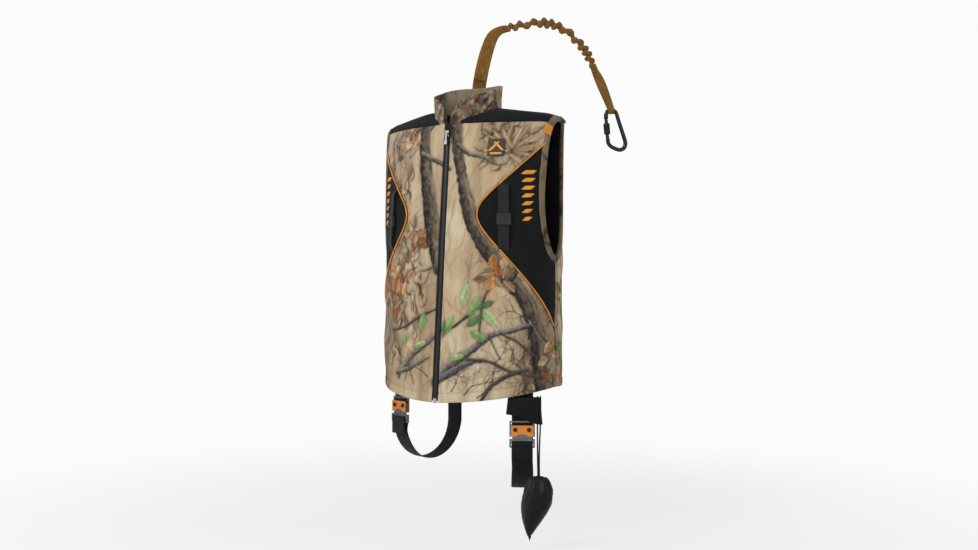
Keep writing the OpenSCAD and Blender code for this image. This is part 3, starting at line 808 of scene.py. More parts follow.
# Span in x and z, count, colours and uprightness of each bed of litter.
LITTER = [(-235, -90, 30, 430, 330, DRY), (-100, -40, 90, 330, 70, DRY), (-190, -90, 430, 560, 90, DRY),
          (100, 205, 470, 560, 80, DRY[:5], 0.3), (190, 260, -40, 240, 110, DRY),
          (-150, 170, 585, 690, 330, [c * 0.62 for c in DRY], 0.2), (270, 600, -40, 640, 420, DRY),
          (-600, -250, -40, 640, 420, DRY)]


def paint_undergrowth(canvas, draw):
    """Shade and litter at the right front, the lower left, the collar and behind, and fine strokes."""
    for patch in SHADED:
        shade_patch(canvas, *patch)
    for bed in LITTER:
        litter(canvas, draw, *bed)
    for _ in range(420):
        x, z = draw.uniform(-240, 250), draw.uniform(-30, 600)
        angle, length = draw.normal(85, 26), draw.uniform(16, 60)
        mid = away(x, z, angle + draw.uniform(-24, 24), 0.5 * length)
        end = away(x, z, angle, length)
        shade = [PALE_WOOD, tone(232, 218, 190), SHADE_BROWN][draw.integers(3)]
        stroke(canvas, [(x, z, 0.5), (*mid, 0.9), (*end, 0.4)], shade, shade * 0.8, 0.8, 0, 0.1, 0.5)


# Looks of wood: lit and dark colour, edge softness, bark, shadow.
TRUNK = (BARK, BARK_DARK, 1.6, 1.0, 0.35)
SIDE_TRUNK = (tone(160, 128, 96), tone(72, 54, 40), 1.8, 1.0, 0.3)
FORK = (BARK, BARK_DARK, 1.4, 0.8, 0.3)
HIGH_BRANCH = (GREY_BARK, BARK_DARK, 1.3, 0.6, 0.25)
LOW_BRANCH = (GREY_BARK, BLUE_BARK, 1.3, 0.7, 0.4)
THIN = (tone(104, 92, 82), BARK_DARK, 1.1, 0.3, 0.25)
SPRIG = (tone(96, 84, 72), BARK_DARK, 1.1, 0.3, 0.2)
# Look, seed and (x, z, radius) points of each trunk and branch on the front.
FRONT_WOOD = [
    (TRUNK, 51, [(-92, 700, 15), (-78, 640, 15), (-68, 570, 16), (-55, 510, 15), (-43, 450, 15),
                 (-30, 385, 16), (-20, 320, 15), (-6, 250, 10)]),
    (TRUNK, 57, [(2, 700, 13), (8, 640, 14), (19, 565, 15), (30, 510, 14), (50, 445, 15), (72, 385, 18),
                 (96, 330, 18), (128, 280, 16), (166, 232, 17), (204, 180, 16), (226, 110, 17), (236, 40, 18),
                 (246, -60, 20)]),
    (SIDE_TRUNK, 63, [(-270, 330, 20), (-250, 240, 21), (-226, 140, 19), (-204, 60, 20), (-180, -60, 24)]),
    (FORK, 64, [(166, 232, 9), (190, 262, 8), (230, 300, 6), (262, 350, 4)]),
    (HIGH_BRANCH, 65, [(-60, 505, 6), (-20, 488, 5), (12, 470, 4)]),
    (HIGH_BRANCH, 66, [(30, 520, 6), (62, 500, 5), (100, 492, 4), (128, 478, 3)]),
    ((GREY_BARK, BARK_DARK, 1.3, 0.5, 0.2), 67, [(-50, 560, 5), (-20, 600, 4), (6, 650, 3)]),
    (LOW_BRANCH, 71, [(-2, 6, 9), (22, 40, 9), (60, 62, 8), (98, 90, 7), (128, 112, 6), (170, 122, 5),
                      (222, 138, 4)]),
    ((tone(118, 120, 122), *LOW_BRANCH[1:]), 72, [(-4, 14, 7), (36, 30, 8), (78, 52, 6), (110, 60, 3)]),
    ((GREY_BARK, tone(70, 62, 56), *LOW_BRANCH[2:]), 73,
     [(-118, 20, 8), (-84, 52, 7), (-50, 76, 6), (-18, 100, 5), (14, 128, 3)]),
    ((GREY_BARK, BLUE_BARK, 1.2, 0.6, 0.3), 74, [(-124, 26, 6), (-80, 36, 5), (-20, 62, 3)]),
    (SPRIG, 5, [(-140, 116, 2.5), (-90, 128, 3), (-40, 152, 3), (6, 172, 2)]),
    (SPRIG, 5, [(2, 118, 2.5), (40, 128, 3), (72, 150, 3.5), (96, 168, 3)]),
    ((tone(150, 124, 96), DEEP_BROWN, 1.1, 0.4, 0.25), 5,
     [(102, 96, 3.5), (104, 140, 3), (112, 190, 3.5), (128, 216, 4)]),
    ((tone(110, 98, 86), BARK_DARK, 1.1, 0.4, 0.25), 5,
     [(60, 62, 3), (120, 58, 3.5), (170, 36, 3.5), (230, 24, 4)]),
    ((THIN[0], BARK_DARK, 1.1, 0.4, 0.25), 5, [(98, -40, 4), (124, 0, 4), (160, 26, 4.5), (204, 40, 4)]),
    (THIN, 5, [(150, 116, 2.5), (186, 96, 2.5), (220, 70, 3)]),
    ((THIN[0], BARK_DARK, 1.0, 0.3, 0.2), 5, [(124, 112, 2.5), (136, 84, 2), (148, 62, 1.6)]),
]
# Place, direction and length of each twig.
FRONT_TWIGS = [(8, 8, 28, 46), (40, -8, 64, 40), (70, -14, 30, 52), (98, -20, 50, 50),
               (-20, 20, 150, 40), (-60, 2, 120, 36), (-90, 10, 70, 34), (130, 10, 80, 44),
               (176, 60, 110, 40), (140, -24, 20, 60)]


def paint_front_wood(canvas, draw):
    """A trunk each side of the zip, one at the right side, and low branches that rise from the zip."""
    for look, seed, points in FRONT_WOOD:
        stroke(canvas, points, *look, seed=seed)
    for x, z, angle, length in FRONT_TWIGS:
        twig(canvas, draw, x, z, angle, length, 1.5, 3)


# Middle, spread, count, colours and size of each leaf cluster.
CLUSTERS = [(-112, 300, 26, 26, RUSTS), (-148, 232, 24, 24, RUSTS), (-120, 176, 18, 14, RUSTS),
            (-60, 330, 14, 10, RUSTS, 20),
            (-108, 520, 18, 11, [tone(216, 176, 148), TAN_LEAF, RUST, tone(120, 74, 66)], 24),
            (142, 236, 13, 10, RUSTS, 26),
            (52, 620, 26, 14, [tone(122, 96, 82), tone(176, 138, 116), DEEP_BROWN * 1.6], 22),
            (-40, 640, 20, 8, [tone(176, 138, 116), BROWN], 22)]
# Place, direction, length, width and colour of each green leaf.
GREEN_LEAVES = [(66, 172, 78, 52, 13, LIGHT_GREEN), (80, 150, 62, 50, 12, GREEN),
                (74, 132, 30, 46, 11, DARK_GREEN), (98, 168, 24, 40, 9, DARK_GREEN),
                (110, 168, -50, 46, 13, LIGHT_GREEN), (20, 112, 60, 46, 12, GREEN),
                (14, 104, 84, 40, 8, DARK_GREEN), (-44, 118, 74, 42, 11, GREEN),
                (-60, 84, 20, 36, 8, LIGHT_GREEN), (30, 62, 10, 40, 8, LIGHT_GREEN),
                (-96, 84, 60, 34, 9, GREEN), (84, 120, -30, 36, 12, GREEN)]


def paint_front_leaves(canvas, draw):
    """Rust clusters at the right, a fern at the upper left chest, green leaves at the lower front."""
    for cluster in CLUSTERS:
        leaf_cluster(canvas, draw, *cluster)
    for k in range(22):
        angle = -58 + k * 12.0
        length = 50 + 22 * draw.random()
        leaf(canvas, 158 + 3 * draw.normal(), 505 + 3 * draw.normal(), angle, length, 5.5,
             tone(182, 152, 116) * draw.uniform(0.55, 1.2), VEIN, 1.0, 0.85, draw.uniform(-0.5, 0.5))
    for x, z, angle, length, width, colour in GREEN_LEAVES:
        leaf(canvas, x, z, angle, length, width, colour, DARK_GREEN * 0.8, 1.0, 0.85)


def paint_back(canvas, draw):
    """Trunks, branches and leaf clusters on the sides and the back, at random."""
    for x in (-590, -500, -420, -330, 318, 392, 470, 560):
        lean, r = draw.uniform(-50, 50), draw.uniform(9, 18)
        trunk = [(x, -60, r), (x + lean * 0.2, 120, r), (x + lean * 0.7, 330, r * 0.9),
                 (x + lean, 520, r * 0.8), (x + lean * 1.3, 700, r * 0.7)]
        stroke(canvas, trunk, *TRUNK, seed=draw.integers(999))
    for _ in range(34):
        x = draw.choice([-1, 1]) * draw.uniform(240, 600)
        z, angle = draw.uniform(-30, 640), draw.choice([draw.uniform(15, 60), draw.uniform(120, 165)])
        length, r = draw.uniform(70, 170), draw.uniform(2.5, 6.5)
        mid, end = away(x, z, angle + 14, 0.5 * length), away(x, z, angle, length)
        stroke(canvas, [(x, z, r), (*mid, r * 0.8), (*end, r * 0.5)], GREY_BARK, BLUE_BARK, 1.3, 0.7, 0.35,
               seed=draw.integers(999))
        twig(canvas, draw, *end, angle + 10, 36, 1.5, 2)
    for _ in range(17):
        x, z = draw.choice([-1, 1]) * draw.uniform(260, 600), draw.uniform(20, 620)
        leaf_cluster(canvas, draw, x, z, 20, 9, RUSTS + [GREEN, LIGHT_GREEN])


def paint_print():
    canvas = np.zeros((*GX.shape, 3))
    draw = np.random.default_rng(77)
    paint_ground(canvas, draw)
    paint_undergrowth(canvas, draw)
    paint_front_wood(canvas, draw)
    paint_front_leaves(canvas, draw)
    paint_back(canvas, draw)
    return np.clip(canvas, 0.004, 0.95)


PRINT = paint_print()


def print_at(x, z):
    """Colour of the print at arc x and height z."""
    fx = np.clip(x - PRINT_X0, 0, PRINT.shape[1] - 2.001)
    fz = np.clip(z - PRINT_Z0, 0, PRINT.shape[0] - 2.001)
    ix, iz = fx.astype(int), fz.astype(int)
    tx, tz = (fx - ix)[..., None], (fz - iz)[..., None]
    low, high = (mix(PRINT[row, ix], PRINT[row, ix + 1], tx) for row in (iz, iz + 1))
    return mix(low, high, tz)


def paint_object(obj, gain=1.0):
    """Print colours for a small piece, from each point's own place."""
    co = np.array([v.co for v in obj.data.vertices]) / MM
    th = np.degrees(np.arctan2(np.abs(co[:, 0]) / HALF_WIDTH, -co[:, 1] / HALF_DEPTH))
    x = np.sign(co[:, 0]) * np.interp(th, ARC_TH, ARC)
    put_colours(obj, print_at(x, co[:, 2]) * gain)
    return obj


# ---------------------------------------------------------------- vest shell
ZIP_TOP = (0, 0, 0.565)


def follow_front(obj, side):
    """The lower front of the cloth opens with its half; the cloth stays joined at the neck and side."""
    body = "front_left" if side > 0 else "front_right"
    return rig.blend(obj, "vest", body, start=ZIP_TOP, end=(-0.195 * side, 0, 0.4829))


def round_shoulder(obj):
    """Lets the cloth drop softly at the shoulder point."""
    me = obj.data
    co = np.array([v.co for v in me.vertices])
    out = np.clip((np.abs(co[:, 0]) - 0.190) / 0.047, 0, 1.15) ** 2 * ease((co[:, 2] - 0.47) / 0.11)
    if out.max() > 0:
        co[:, 2] -= 0.013 * out
        co[:, 0] -= np.sign(co[:, 0]) * 0.003 * out
        me.vertices.foreach_set("co", co.ravel())
        me.update()


def finish_piece(obj, slot, body, *nodes):
    """Puts a piece on its body and in the place of its CAD nodes."""
    if body in (1, -1, "vest"):
        round_shoulder(obj)
    if body in (1, -1):
        follow_front(obj, body)
    elif body:
        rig.ride(obj, body)
    if nodes:
        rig.replaces(obj, *nodes)
    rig.slot(obj, slot)
    return obj


def skin(name, th, z, side, near, thick, material, gain=1.0, printed=None, extra=0.0):
    """Cloth at angles th and heights z of the wearer's left side, or its mirror image."""
    extra = np.broadcast_to(extra, th.shape)
    if side < 0:
        th, z, extra = (360 - th)[::-1], z[::-1], extra[::-1]
    a = np.where(th <= 180, th, 360 - th)
    z = np.minimum(z, crown(a)[2] - 0.01)
    colours = print_at(arc_of(th), z) * printed if printed else None
    return sheet(name, at_z(th, z), near + gain * relief(th, z) + extra, thick, material, colours)


def suffix(side):
    return "left" if side > 0 else "right"


PANEL_TOP, EDGE_GAP = 570.0, 0.5


def seam_reach(z):
    """How far the cloth runs on past the CAD edge to close the side seam, in degrees."""
    return 1.4 * ease((ARM_Z - z) / 8)


def panel_edge(z):
    return np.minimum(inset_edge(z), armhole_edge(z + 2) + seam_reach(z)) - EDGE_GAP


def front_grid(nu, nv, rise=0.0, inner=ZIP_TH, shy=0.0):
    u, t = uv_grid(nu, nv)
    edge = panel_edge(mix(hem_z(panel_edge(mix(-15, PANEL_TOP, t))), PANEL_TOP, t)) - shy
    th = mix(inner, edge, u)
    top = np.minimum(PANEL_TOP, crown(th)[2])
    return th, mix(hem_z(th) + rise, top, t)


def edge_roll(nu, nv, reach=3):
    """Lift near the border of a grid: the sheet's edges turn inwards."""
    u = np.minimum(np.arange(nu), np.arange(nu)[::-1])[:, None]
    v = np.minimum(np.arange(nv), np.arange(nv)[::-1])[None, :]
    near = np.minimum(u, v)
    return -1.4 * np.clip(1 - near / reach, 0, 1) ** 2


def stitches(name, points, normals, material, pitch=3.4, length=2.3, radius=0.42, lift=0.1):
    """Row of raised thread dashes along a line in mm."""
    run = run_of(points)
    mid = np.arange(pitch / 2, run[-1], pitch)
    n = sample(run, normals, mid)
    a = sample(run, points, np.maximum(mid - length / 2, 0))
    b = sample(run, points, np.minimum(mid + length / 2, run[-1]))
    w = np.cross(unit(b - a), n)
    arch = [(-1, 0), (-0.5, 0.8), (0.5, 0.8), (1, 0)]
    verts, faces = [], []
    for k in range(len(mid)):
        base = len(verts)
        for p, grow in ((a[k], 0.35), ((a[k] + b[k]) / 2, 1.0), (b[k], 0.35)):
            verts += [p + n[k] * (lift + radius * grow * up) + w[k] * radius * grow * out for out, up in arch]
        for g in (0, 4):
            faces += [(base + g + i, base + g + i + 1, base + g + i + 5, base + g + i + 4) for i in range(3)]
    obj = new_object(name, np.array(verts) * MM, faces)
    obj.data.materials.append(material)
    return obj


def surface_line(th, z, lift=0.0):
    """Points and outward normals along a line drawn on the cloth."""
    p0 = at_z(th, z)
    a, b = at_z(th + 0.25, z), at_z(th, z + 1.0)
    n = unit(np.cross(a - p0, b - p0))
    return p0 + n * (relief(th, z) + lift)[:, None], n


def mirrored(pair, side):
    flip = np.array([side, 1, 1])
    return pair[0] * flip, pair[1] * flip


for side in (1, -1):
    tail = suffix(side)
    th, z = front_grid(150, 300)
    shell = skin("camo_front_" + tail, th, z, side, 0, SHELL_T, CAMO, 1, 1.0, edge_roll(150, 300))
    finish_piece(shell, "camo_shell", side, "front_panel_" + tail)
    th, z = front_grid(50, 90, rise=8, shy=1.0)
    inner = skin("lining_front_cloth_" + tail, th, z, side, -LINING_NEAR, LINING_T, MESH)
    finish_piece(inner, "lining", side, "lining_front_" + tail)

    u, t = uv_grid(60, 150)
    z = mix(132.0, 524.0, t)
    th = mix(inset_edge(z) - 0.6, armhole_edge(z) + seam_reach(z) - 0.2, u)
    inset = skin("side_inset_cloth_" + tail, th, z, side, -0.9, 2.4, BLACK, 0.8)
    finish_piece(inset, "black_fabric", "vest", "side_inset_" + tail)

    zs = np.linspace(131.0, 523.0, 220)
    line, normals = mirrored(surface_line(inset_edge(zs) + 0.15, zs, 1.0), side)
    cord = tube("piping_cord_" + tail, line, 1.75, ORANGE, 10)
    finish_piece(cord, "orange_trim", "vest", "piping_" + tail)

    rows = []
    for row_th in (ZIP_TH + 2.0, ZIP_TH + 3.6):
        zs = np.linspace(hem_z(np.array(row_th)) + 2, 556, 300)
        rows.append(stitches("s", *mirrored(surface_line(np.full(300, row_th), zs), side), THREAD))
    ths = np.linspace(ZIP_TH + 1, 88, 260)
    rows.append(stitches("s", *mirrored(surface_line(ths, hem_z(ths) + 20), side), THREAD, lift=0.5))
    zs = np.linspace(150, 516, 200)
    rows.append(stitches("s", *mirrored(surface_line(inset_edge(zs) - 2.4, zs), side), THREAD))
    sewn = join("front_stitching_" + tail, rows)
    finish_piece(sewn, "camo_shell", side)

u, t = uv_grid(230, 190)
rough = mix(-4, YOKE_BACK_Z - 1.5, t)
edge = 180 - armhole_edge(rough) - 0.7 * seam_reach(rough) + 0.2
th = mix(edge, 360 - edge, u)
a = np.minimum(th, 360 - th)
z = mix(hem_z(a), YOKE_BACK_Z - 1.5, t)
lift = relief(th, z) + edge_roll(230, 190)
back = sheet("camo_back", at_z(th, z), lift, SHELL_T, CAMO, print_at(arc_of(th), z))
finish_piece(back, "camo_shell", "vest", "back_panel")
u, t = uv_grid(90, 90)
rough = mix(0, 598, t)
edge = 180 - armhole_edge(rough) + 1.0
th = mix(edge, 360 - edge, u)
a = np.minimum(th, 360 - th)
z = mix(hem_z(a) + 8, crown(a)[2] - 12, t)
inner = sheet("lining_back_cloth", at_z(th, z), relief(th, z) - LINING_NEAR, LINING_T, MESH)
finish_piece(inner, "lining", "vest", "lining_back")
ths = np.linspace(91, 269, 420)
line = surface_line(ths, hem_z(np.minimum(ths, 360 - ths)) + 20)
finish_piece(stitches("hem_stitching_back", *line, THREAD, lift=0.5), "camo_shell", "vest")

for side in (1, -1):
    zs = np.linspace(3, ARM_Z - 3, 160)
    p, n = mirrored(surface_line(np.full(160, 90.1), zs, -1.0), side)
    finish_piece(tube("side_seam_" + suffix(side), p, 1.1, TAPE, 6), "camo_shell", "vest")


# ---------------------------------------------------------------- yoke, collar and armhole bindings
def yoke_relief(p):
    return 0.7 * cloud(p[..., 0], p[..., 1] + p[..., 2], 40, 15, 3)


def flip_grid(p, side):
    return p if side > 0 else (p * np.array([-1, 1, 1]))[::-1]


YOKE_FRONT_Z = 572.5
for side in (1, -1):
    tail = suffix(side)
    u, t = uv_grid(44, 90)
    th = mix(NECK_TH - 1, ARM_TH - 0.3, u)
    top = flip_grid(over(th, YOKE_FRONT_Z - 2.5, YOKE_BACK_Z, t), side)
    u, t = uv_grid(30, 16)
    th = mix(9, NECK_TH, u)
    front = flip_grid(at_z(th, mix(YOKE_FRONT_Z - 2.5, crown(th)[2] - 0.3, t)), side)
    u, t = uv_grid(40, 60)
    th = mix(180 - NECK_TH, 180, u)
    rear = flip_grid(at_z(th, mix(YOKE_BACK_Z, crown(th)[2] - 0.3, t)), side)
    parts = [sheet("y", p, 0.4 + yoke_relief(p), SHELL_T, BLACK) for p in (top, front, rear)]
    for part in parts[1:]:
        part.modifiers.clear()
    finish_piece(join("yoke_cloth_" + tail, parts), "black_fabric", "vest", "shoulder_yoke_" + tail)
    ths = np.linspace(14, ARM_TH - 1, 150)
    p, n = mirrored(surface_line(ths, np.minimum(YOKE_FRONT_Z - 3, crown(ths)[2] - 4), 0.4), side)
    finish_piece(tube("yoke_seam_" + tail, p, 0.9, BLACK, 6), "black_fabric", "vest")


def collar_point(u, t, shrink=0.0):
    slit = 1.6 + 2 * t
    phi = mix(slit, 360 - slit, u)
    turn = np.minimum(phi, 360 - phi)
    c = cos(phi)
    base = np.where(turn < 90, np.maximum(575, mix(NECK_FRONT_Z, NECK_Z, turn / 90) + 3), NECK_BACK_Z + 3)
    rim = 574 + 50 * (1 - np.exp(-turn / 12)) + 40 * ease(turn / 150)
    base = base - 8 * ease((40 - turn) / 30) - 9 * ease((turn - 45) / 40)
    flare = mix(1, 1.05, t)
    x = (NECK_W * flare - shrink) * sin(phi)
    y = -c * (np.where(c > 0, 88, 58) * mix(1, 0.97, t) - shrink)
    return np.stack([x, y, mix(base, rim, t)], -1)


# Cross-section as (share of the height, depth): up the outside, round the rim, down the inside.
COLLAR_T = 4.6
profile = [(k / 14, 0.0) for k in range(15)]
for k in range(1, 6):
    turn = math.pi * k / 6
    profile.append((1 + 0.022 * math.sin(turn), COLLAR_T / 2 * (1 - math.cos(turn))))
outer = profile[:18]
inner = profile[17:] + [(1 - k / 12, COLLAR_T) for k in range(13)]
us = np.linspace(0, 1, 300)
wave = 1.2 * np.sin(us * 34) + 0.9 * cloud(us * 600, us * 0, 70, 81, 2)


def collar_skin(name, section, gain):
    p = np.stack([collar_point(us, np.full(300, t), s) for t, s in section], 1)
    share = np.array([min(t, 1) for t, _ in section])[None, :, None]
    n = grid_normals(p)
    p = p + n * (wave[:, None, None] * share * (1 - share) * 2.6)
    x = np.sign(p[..., 0]) * np.degrees(np.arctan2(np.abs(p[..., 0]), -p[..., 1])) * 1.7
    colours = print_at(x + 14, p[..., 2] + 10) * gain
    return sheet(name, p, 0, 0, CAMO, colours)


finish_piece(collar_skin("collar_cloth", outer, 0.8), "camo_shell", "vest", "collar_outer")
# Inside of the collar: the camo print at half brightness, as painted shade, though its finish is noted with the black
# fabric.
finish_piece(collar_skin("collar_inside", inner, 0.5), "black_fabric", "vest", "collar_lining")
p = collar_point(np.linspace(0.01, 0.99, 420), np.full(420, 0.86), -0.4)
seam = stitches("collar_stitching", p, unit(p * np.array([1, 1, 0])), THREAD)
finish_piece(seam, "camo_shell", "vest")


def armhole_loop():
    """Closed line round the wearer's left armhole and its outward normals, from the front foot upwards."""
    psi = np.linspace(0, 90, 50)
    f_th, f_z = 90 - ARM_BITE * sin(psi), ARM_Z + ARM_RISE * (1 - cos(psi))
    rise = np.linspace(ARM_Z + ARM_RISE, YOKE_FRONT_Z - 3, 34)[1:]
    f_th, f_z = np.concatenate([f_th, np.full(33, ARM_TH)]), np.concatenate([f_z, rise])
    front_s = share_in(f_th, f_z)
    b_z = np.concatenate([f_z[:50], np.linspace(ARM_Z + ARM_RISE, YOKE_BACK_Z, 20)[1:]])
    b_th = 180 - np.concatenate([f_th[:50], np.full(19, ARM_TH)])
    back_s = share_in(b_th, b_z)
    cap = np.linspace(front_s[-1], 1, 16)[1:]
    cap_b = np.linspace(1, back_s[-1], 30)[1:-1]
    ths = np.concatenate([f_th, np.full(15, ARM_TH), np.full(28, 180 - ARM_TH), b_th[::-1]])
    ss = np.concatenate([front_s, cap, cap_b, back_s[::-1]])
    p = surf(ths, None, ss)
    inner_th = np.where(ths < 90, ths - 2, ths + 2)
    below_seam = np.minimum(ss, 0.985)
    across = surf(inner_th, None, below_seam) - surf(ths, None, below_seam)
    n = np.cross(np.gradient(p, axis=0), -across)
    for _ in range(3):
        n = (np.roll(n, 1, 0) + n + np.roll(n, -1, 0)) / 3
    n = unit(n)
    if np.mean(np.sum(n * p * [1, 1, 0], 1)) < 0:
        n = -n
    return p[:-1], n[:-1]


RIM, RIM_N = armhole_loop()
rim_out = np.cross(RIM_N, unit(np.roll(RIM, -1, 0) - np.roll(RIM, 1, 0)))
if np.mean(np.sum(rim_out * (RIM.mean(0) - RIM), 1)) < 0:
    rim_out = -rim_out
# Cross-section of the binding: towards the hole, and off the cloth.
BIND = np.array([(-13, 0.6), (-10, 1.9), (-4, 2.3), (0, 2.0), (1.6, 0.8), (2.0, -1.4), (1.6, -4.0), (0, -5.4),
                 (-5, -6.2), (-11, -6.0)])
RIM_COUNT = len(RIM)
for side in (1, -1):
    tail = suffix(side)
    steps = np.arange(RIM_COUNT)
    pucker = 1 + 0.09 * lattice_noise(steps * 3.0, steps * 0.0, 9, 61)
    spread = rim_out[:, None] * (BIND[None, :, 0] * pucker[:, None])[..., None]
    p = flip_grid(RIM[:, None] + spread + RIM_N[:, None] * BIND[None, :, 1, None], side)
    faces = grid_faces(RIM_COUNT, len(BIND), True, True)[:, ::-1]
    band = new_object("armhole_binding_cloth_" + tail, p * MM, faces)
    paint_object(band, 0.36)
    band.data.materials.append(CAMO)
    sub = band.modifiers.new("smooth", "SUBSURF")
    sub.levels = sub.render_levels = 1
    finish_piece(band, "camo_shell", "vest", "armhole_binding_" + tail, "armhole_binding_front_" + tail)
    line, normals = mirrored((RIM - rim_out * 10.5 + RIM_N * 1.9, RIM_N), side)
    finish_piece(stitches("armhole_stitching_" + tail, line, normals, THREAD), "camo_shell", "vest")


# ---------------------------------------------------------------- zip
ZIP_LEN = 590.0
ZIP_LEAN = math.atan2(NECK_FRONT_Y + HALF_DEPTH, NECK_FRONT_Z + FRONT_DIP)


def tilted(p, y, lean):
    """Leans a part's own x, y, z back about its x axis."""
    c, s = math.cos(lean), math.sin(lean)
    return np.stack([p[0], y * c + p[2] * s, -y * s + p[2] * c], -1)


def zip_point(x, y, z):
    p = np.broadcast_arrays(*(np.asarray(v, float) for v in (x, y, z)))
    return np.array([0, -HALF_DEPTH, -FRONT_DIP]) + tilted(p, p[1] + SHELL_T / 2, ZIP_LEAN)


def boxes(name, corners, material):
    """Many small six-sided blocks. corners is n x 8 x 3: the low ring, then the high ring."""
    n = len(corners)
    quad = np.array([(0, 3, 2, 1), (4, 5, 6, 7), (0, 1, 5, 4), (1, 2, 6, 5), (2, 3, 7, 6), (3, 0, 4, 7)])
    faces = (quad[None] + 8 * np.arange(n)[:, None, None]).reshape(-1, 4)
    obj = new_object(name, corners.reshape(-1, 3) * MM, faces, smooth=False)
    obj.data.materials.append(material)
    return obj


TOOTH = [(-0.9, -0.55, -1.5), (3.2, -0.95, -1.2), (3.2, 0.95, -1.2), (-0.9, 0.55, -1.5)]
OTHER_HAND = [3, 2, 1, 0, 7, 6, 5, 4]  # order of a block's corners for a mirrored block
for side in (1, -1):
    tail = suffix(side)
    u, t = uv_grid(12, 200)
    x = mix(0.4, 9.6, u)
    p = flip_grid(zip_point(x, -0.1 + 1.5 * ease((x - 7) / 3), mix(4, ZIP_LEN + 13, t)), side)
    ripple = 0.25 * cloud(p[..., 0] * 4, p[..., 2], 26, 5, 2)
    tape = sheet("zip_tape_cloth_" + tail, p, 0.6 + ripple, 1.2, TAPE)
    finish_piece(tape, "zip_black", side, "zip_tape_" + tail)
    zs = np.arange(11.0, ZIP_LEN - 1, 3.0) + (0 if side > 0 else 1.5)
    corners = np.zeros((len(zs), 8, 3))
    for k, (x, z, y) in enumerate(TOOTH):
        corners[:, k] = zip_point(x, 1.3, zs + z) * np.array([side, 1, 1])
        corners[:, k + 4] = zip_point(x, y, zs + z) * np.array([side, 1, 1])
    if side < 0:
        corners = corners[:, OTHER_HAND]
    finish_piece(boxes("zip_teeth_row_" + tail, corners, TEETH), "zip_black", side, "zip_teeth_" + tail)


def keep(node, material, bevel=0.35, angle=40):
    """A CAD part that is shown as it is, with softened edges."""
    obj = frame["nodes"][node]
    obj.data.materials.clear()
    obj.data.materials.append(material)
    if bevel:
        mod = obj.modifiers.new("edges", "BEVEL")
        mod.width = bevel * MM
        mod.segments = 2
        mod.limit_method = "ANGLE"
        mod.angle_limit = math.radians(angle)
    return obj


for node, material in (("zip_slider", BAR_METAL), ("zip_pull", BAR_METAL), ("zip_box", CHROME)):
    keep(node, material, 0.3)


# ---------------------------------------------------------------- patch, tag and inset marks
def block(name, th_c, z_c, width, height, side, lift, thick, material, slant=0.0, n=7, gain=1.0):
    """Flat rounded block on the cloth, centred at angle th_c and height z_c, sized in mm."""
    u, t = uv_grid(n, n)
    u, t = 2 * u - 1, 2 * t - 1
    per_degree = float(np.interp(th_c + 1, ARC_TH, ARC) - np.interp(th_c, ARC_TH, ARC))
    round_x = u * np.sqrt(1 - 0.10 * t ** 4)
    round_z = t * np.sqrt(1 - 0.10 * u ** 4)
    th = th_c + (round_x * width / 2 + slant * round_z * height) / per_degree
    return skin(name, th, z_c + round_z * height / 2, side, lift, thick, material, gain)


def slanted_mark(cx, cz, width, height, slant):
    return block("p", cx, cz, width, height, 1, 2.9, 0.8, PATCH_MARK, slant=slant)


patch = join("chest_patch_plate", [
    block("p", 37.5, 511, 37, 37, 1, 2.4, 1.6, PLASTIC, n=16),
    slanted_mark(36.1, 513.5, 6.5, 19, 0.5), slanted_mark(39.0, 513.5, 6.5, 19, -0.5),
    block("p", 37.5, 498.5, 25, 4, 1, 2.9, 0.8, PATCH_MARK)])
finish_piece(patch, "patch", 1, "chest_patch")
edge = mix(-1, 1, np.linspace(0, 1, 120)[::4])
ones = np.ones(30)
corners = ((edge, -ones), (ones, edge), (-edge, ones), (-ones, -edge))
ring = np.concatenate([np.stack(pair, -1) for pair in corners])
border = surface_line(37.5 + ring[:, 0] * 5.0, 511 + ring[:, 1] * 16.5, 2.5)
finish_piece(stitches("patch_stitching", *border, THREAD, 2.4, 1.7, 0.3), "patch", 1)

# The tag wraps the front of the armhole binding between two heights.
first, last = (int(np.argmax(RIM[:83, 2] > z)) for z in (538, 559))
rows = np.linspace(first, last, 12)
tag_mid, tag_out, tag_n = (sample(np.arange(RIM_COUNT), v, rows)[None] for v in (RIM, rim_out, RIM_N))
tag_x = np.linspace(-15, 1.5, 10)[:, None, None]
tag = sheet("shoulder_tag_cloth", tag_mid + tag_out * tag_x + tag_n * 2.6, 0.4, 1.2, ORANGE)
finish_piece(tag, "orange_trim", "vest", "shoulder_tag")

for side in (1, -1):
    marks = []
    for k, width in enumerate([25, 22, 22, 20, 18, 16, 14]):
        z = 458 - 16.5 * k
        marks.append(block("m", 59.5, z, width, 8.5, side, -0.5, 0.5, PATCH_MARK, 0.55 * side, gain=0.8))
    finish_piece(join("inset_marks_" + suffix(side), marks), "orange_trim", "vest")


# ---------------------------------------------------------------- binocular straps
STRAP_TH, STRAP_TURN = 44.0, 38.0
strap_low, strap_high = at_z(STRAP_TH, 308.0), at_z(STRAP_TH, 426.0)
strap_run = strap_high - strap_low
STRAP_LEN = float(np.linalg.norm(strap_run))
strap_face = np.array([math.sin(math.radians(STRAP_TURN)), -math.cos(math.radians(STRAP_TURN)), 0])
STRAP_LEAN = math.asin(-float(strap_run @ strap_face) / STRAP_LEN)


def turn_z(p, degrees):
    c, s = math.cos(math.radians(degrees)), math.sin(math.radians(degrees))
    return np.stack([p[..., 0] * c - p[..., 1] * s, p[..., 0] * s + p[..., 1] * c, p[..., 2]], -1)


def strap_point(x, y, z):
    p = np.broadcast_arrays(*(np.asarray(v, float) for v in (x, y, z)))
    return strap_low + turn_z(tilted(p, p[1] - 8, STRAP_LEAN), STRAP_TURN)


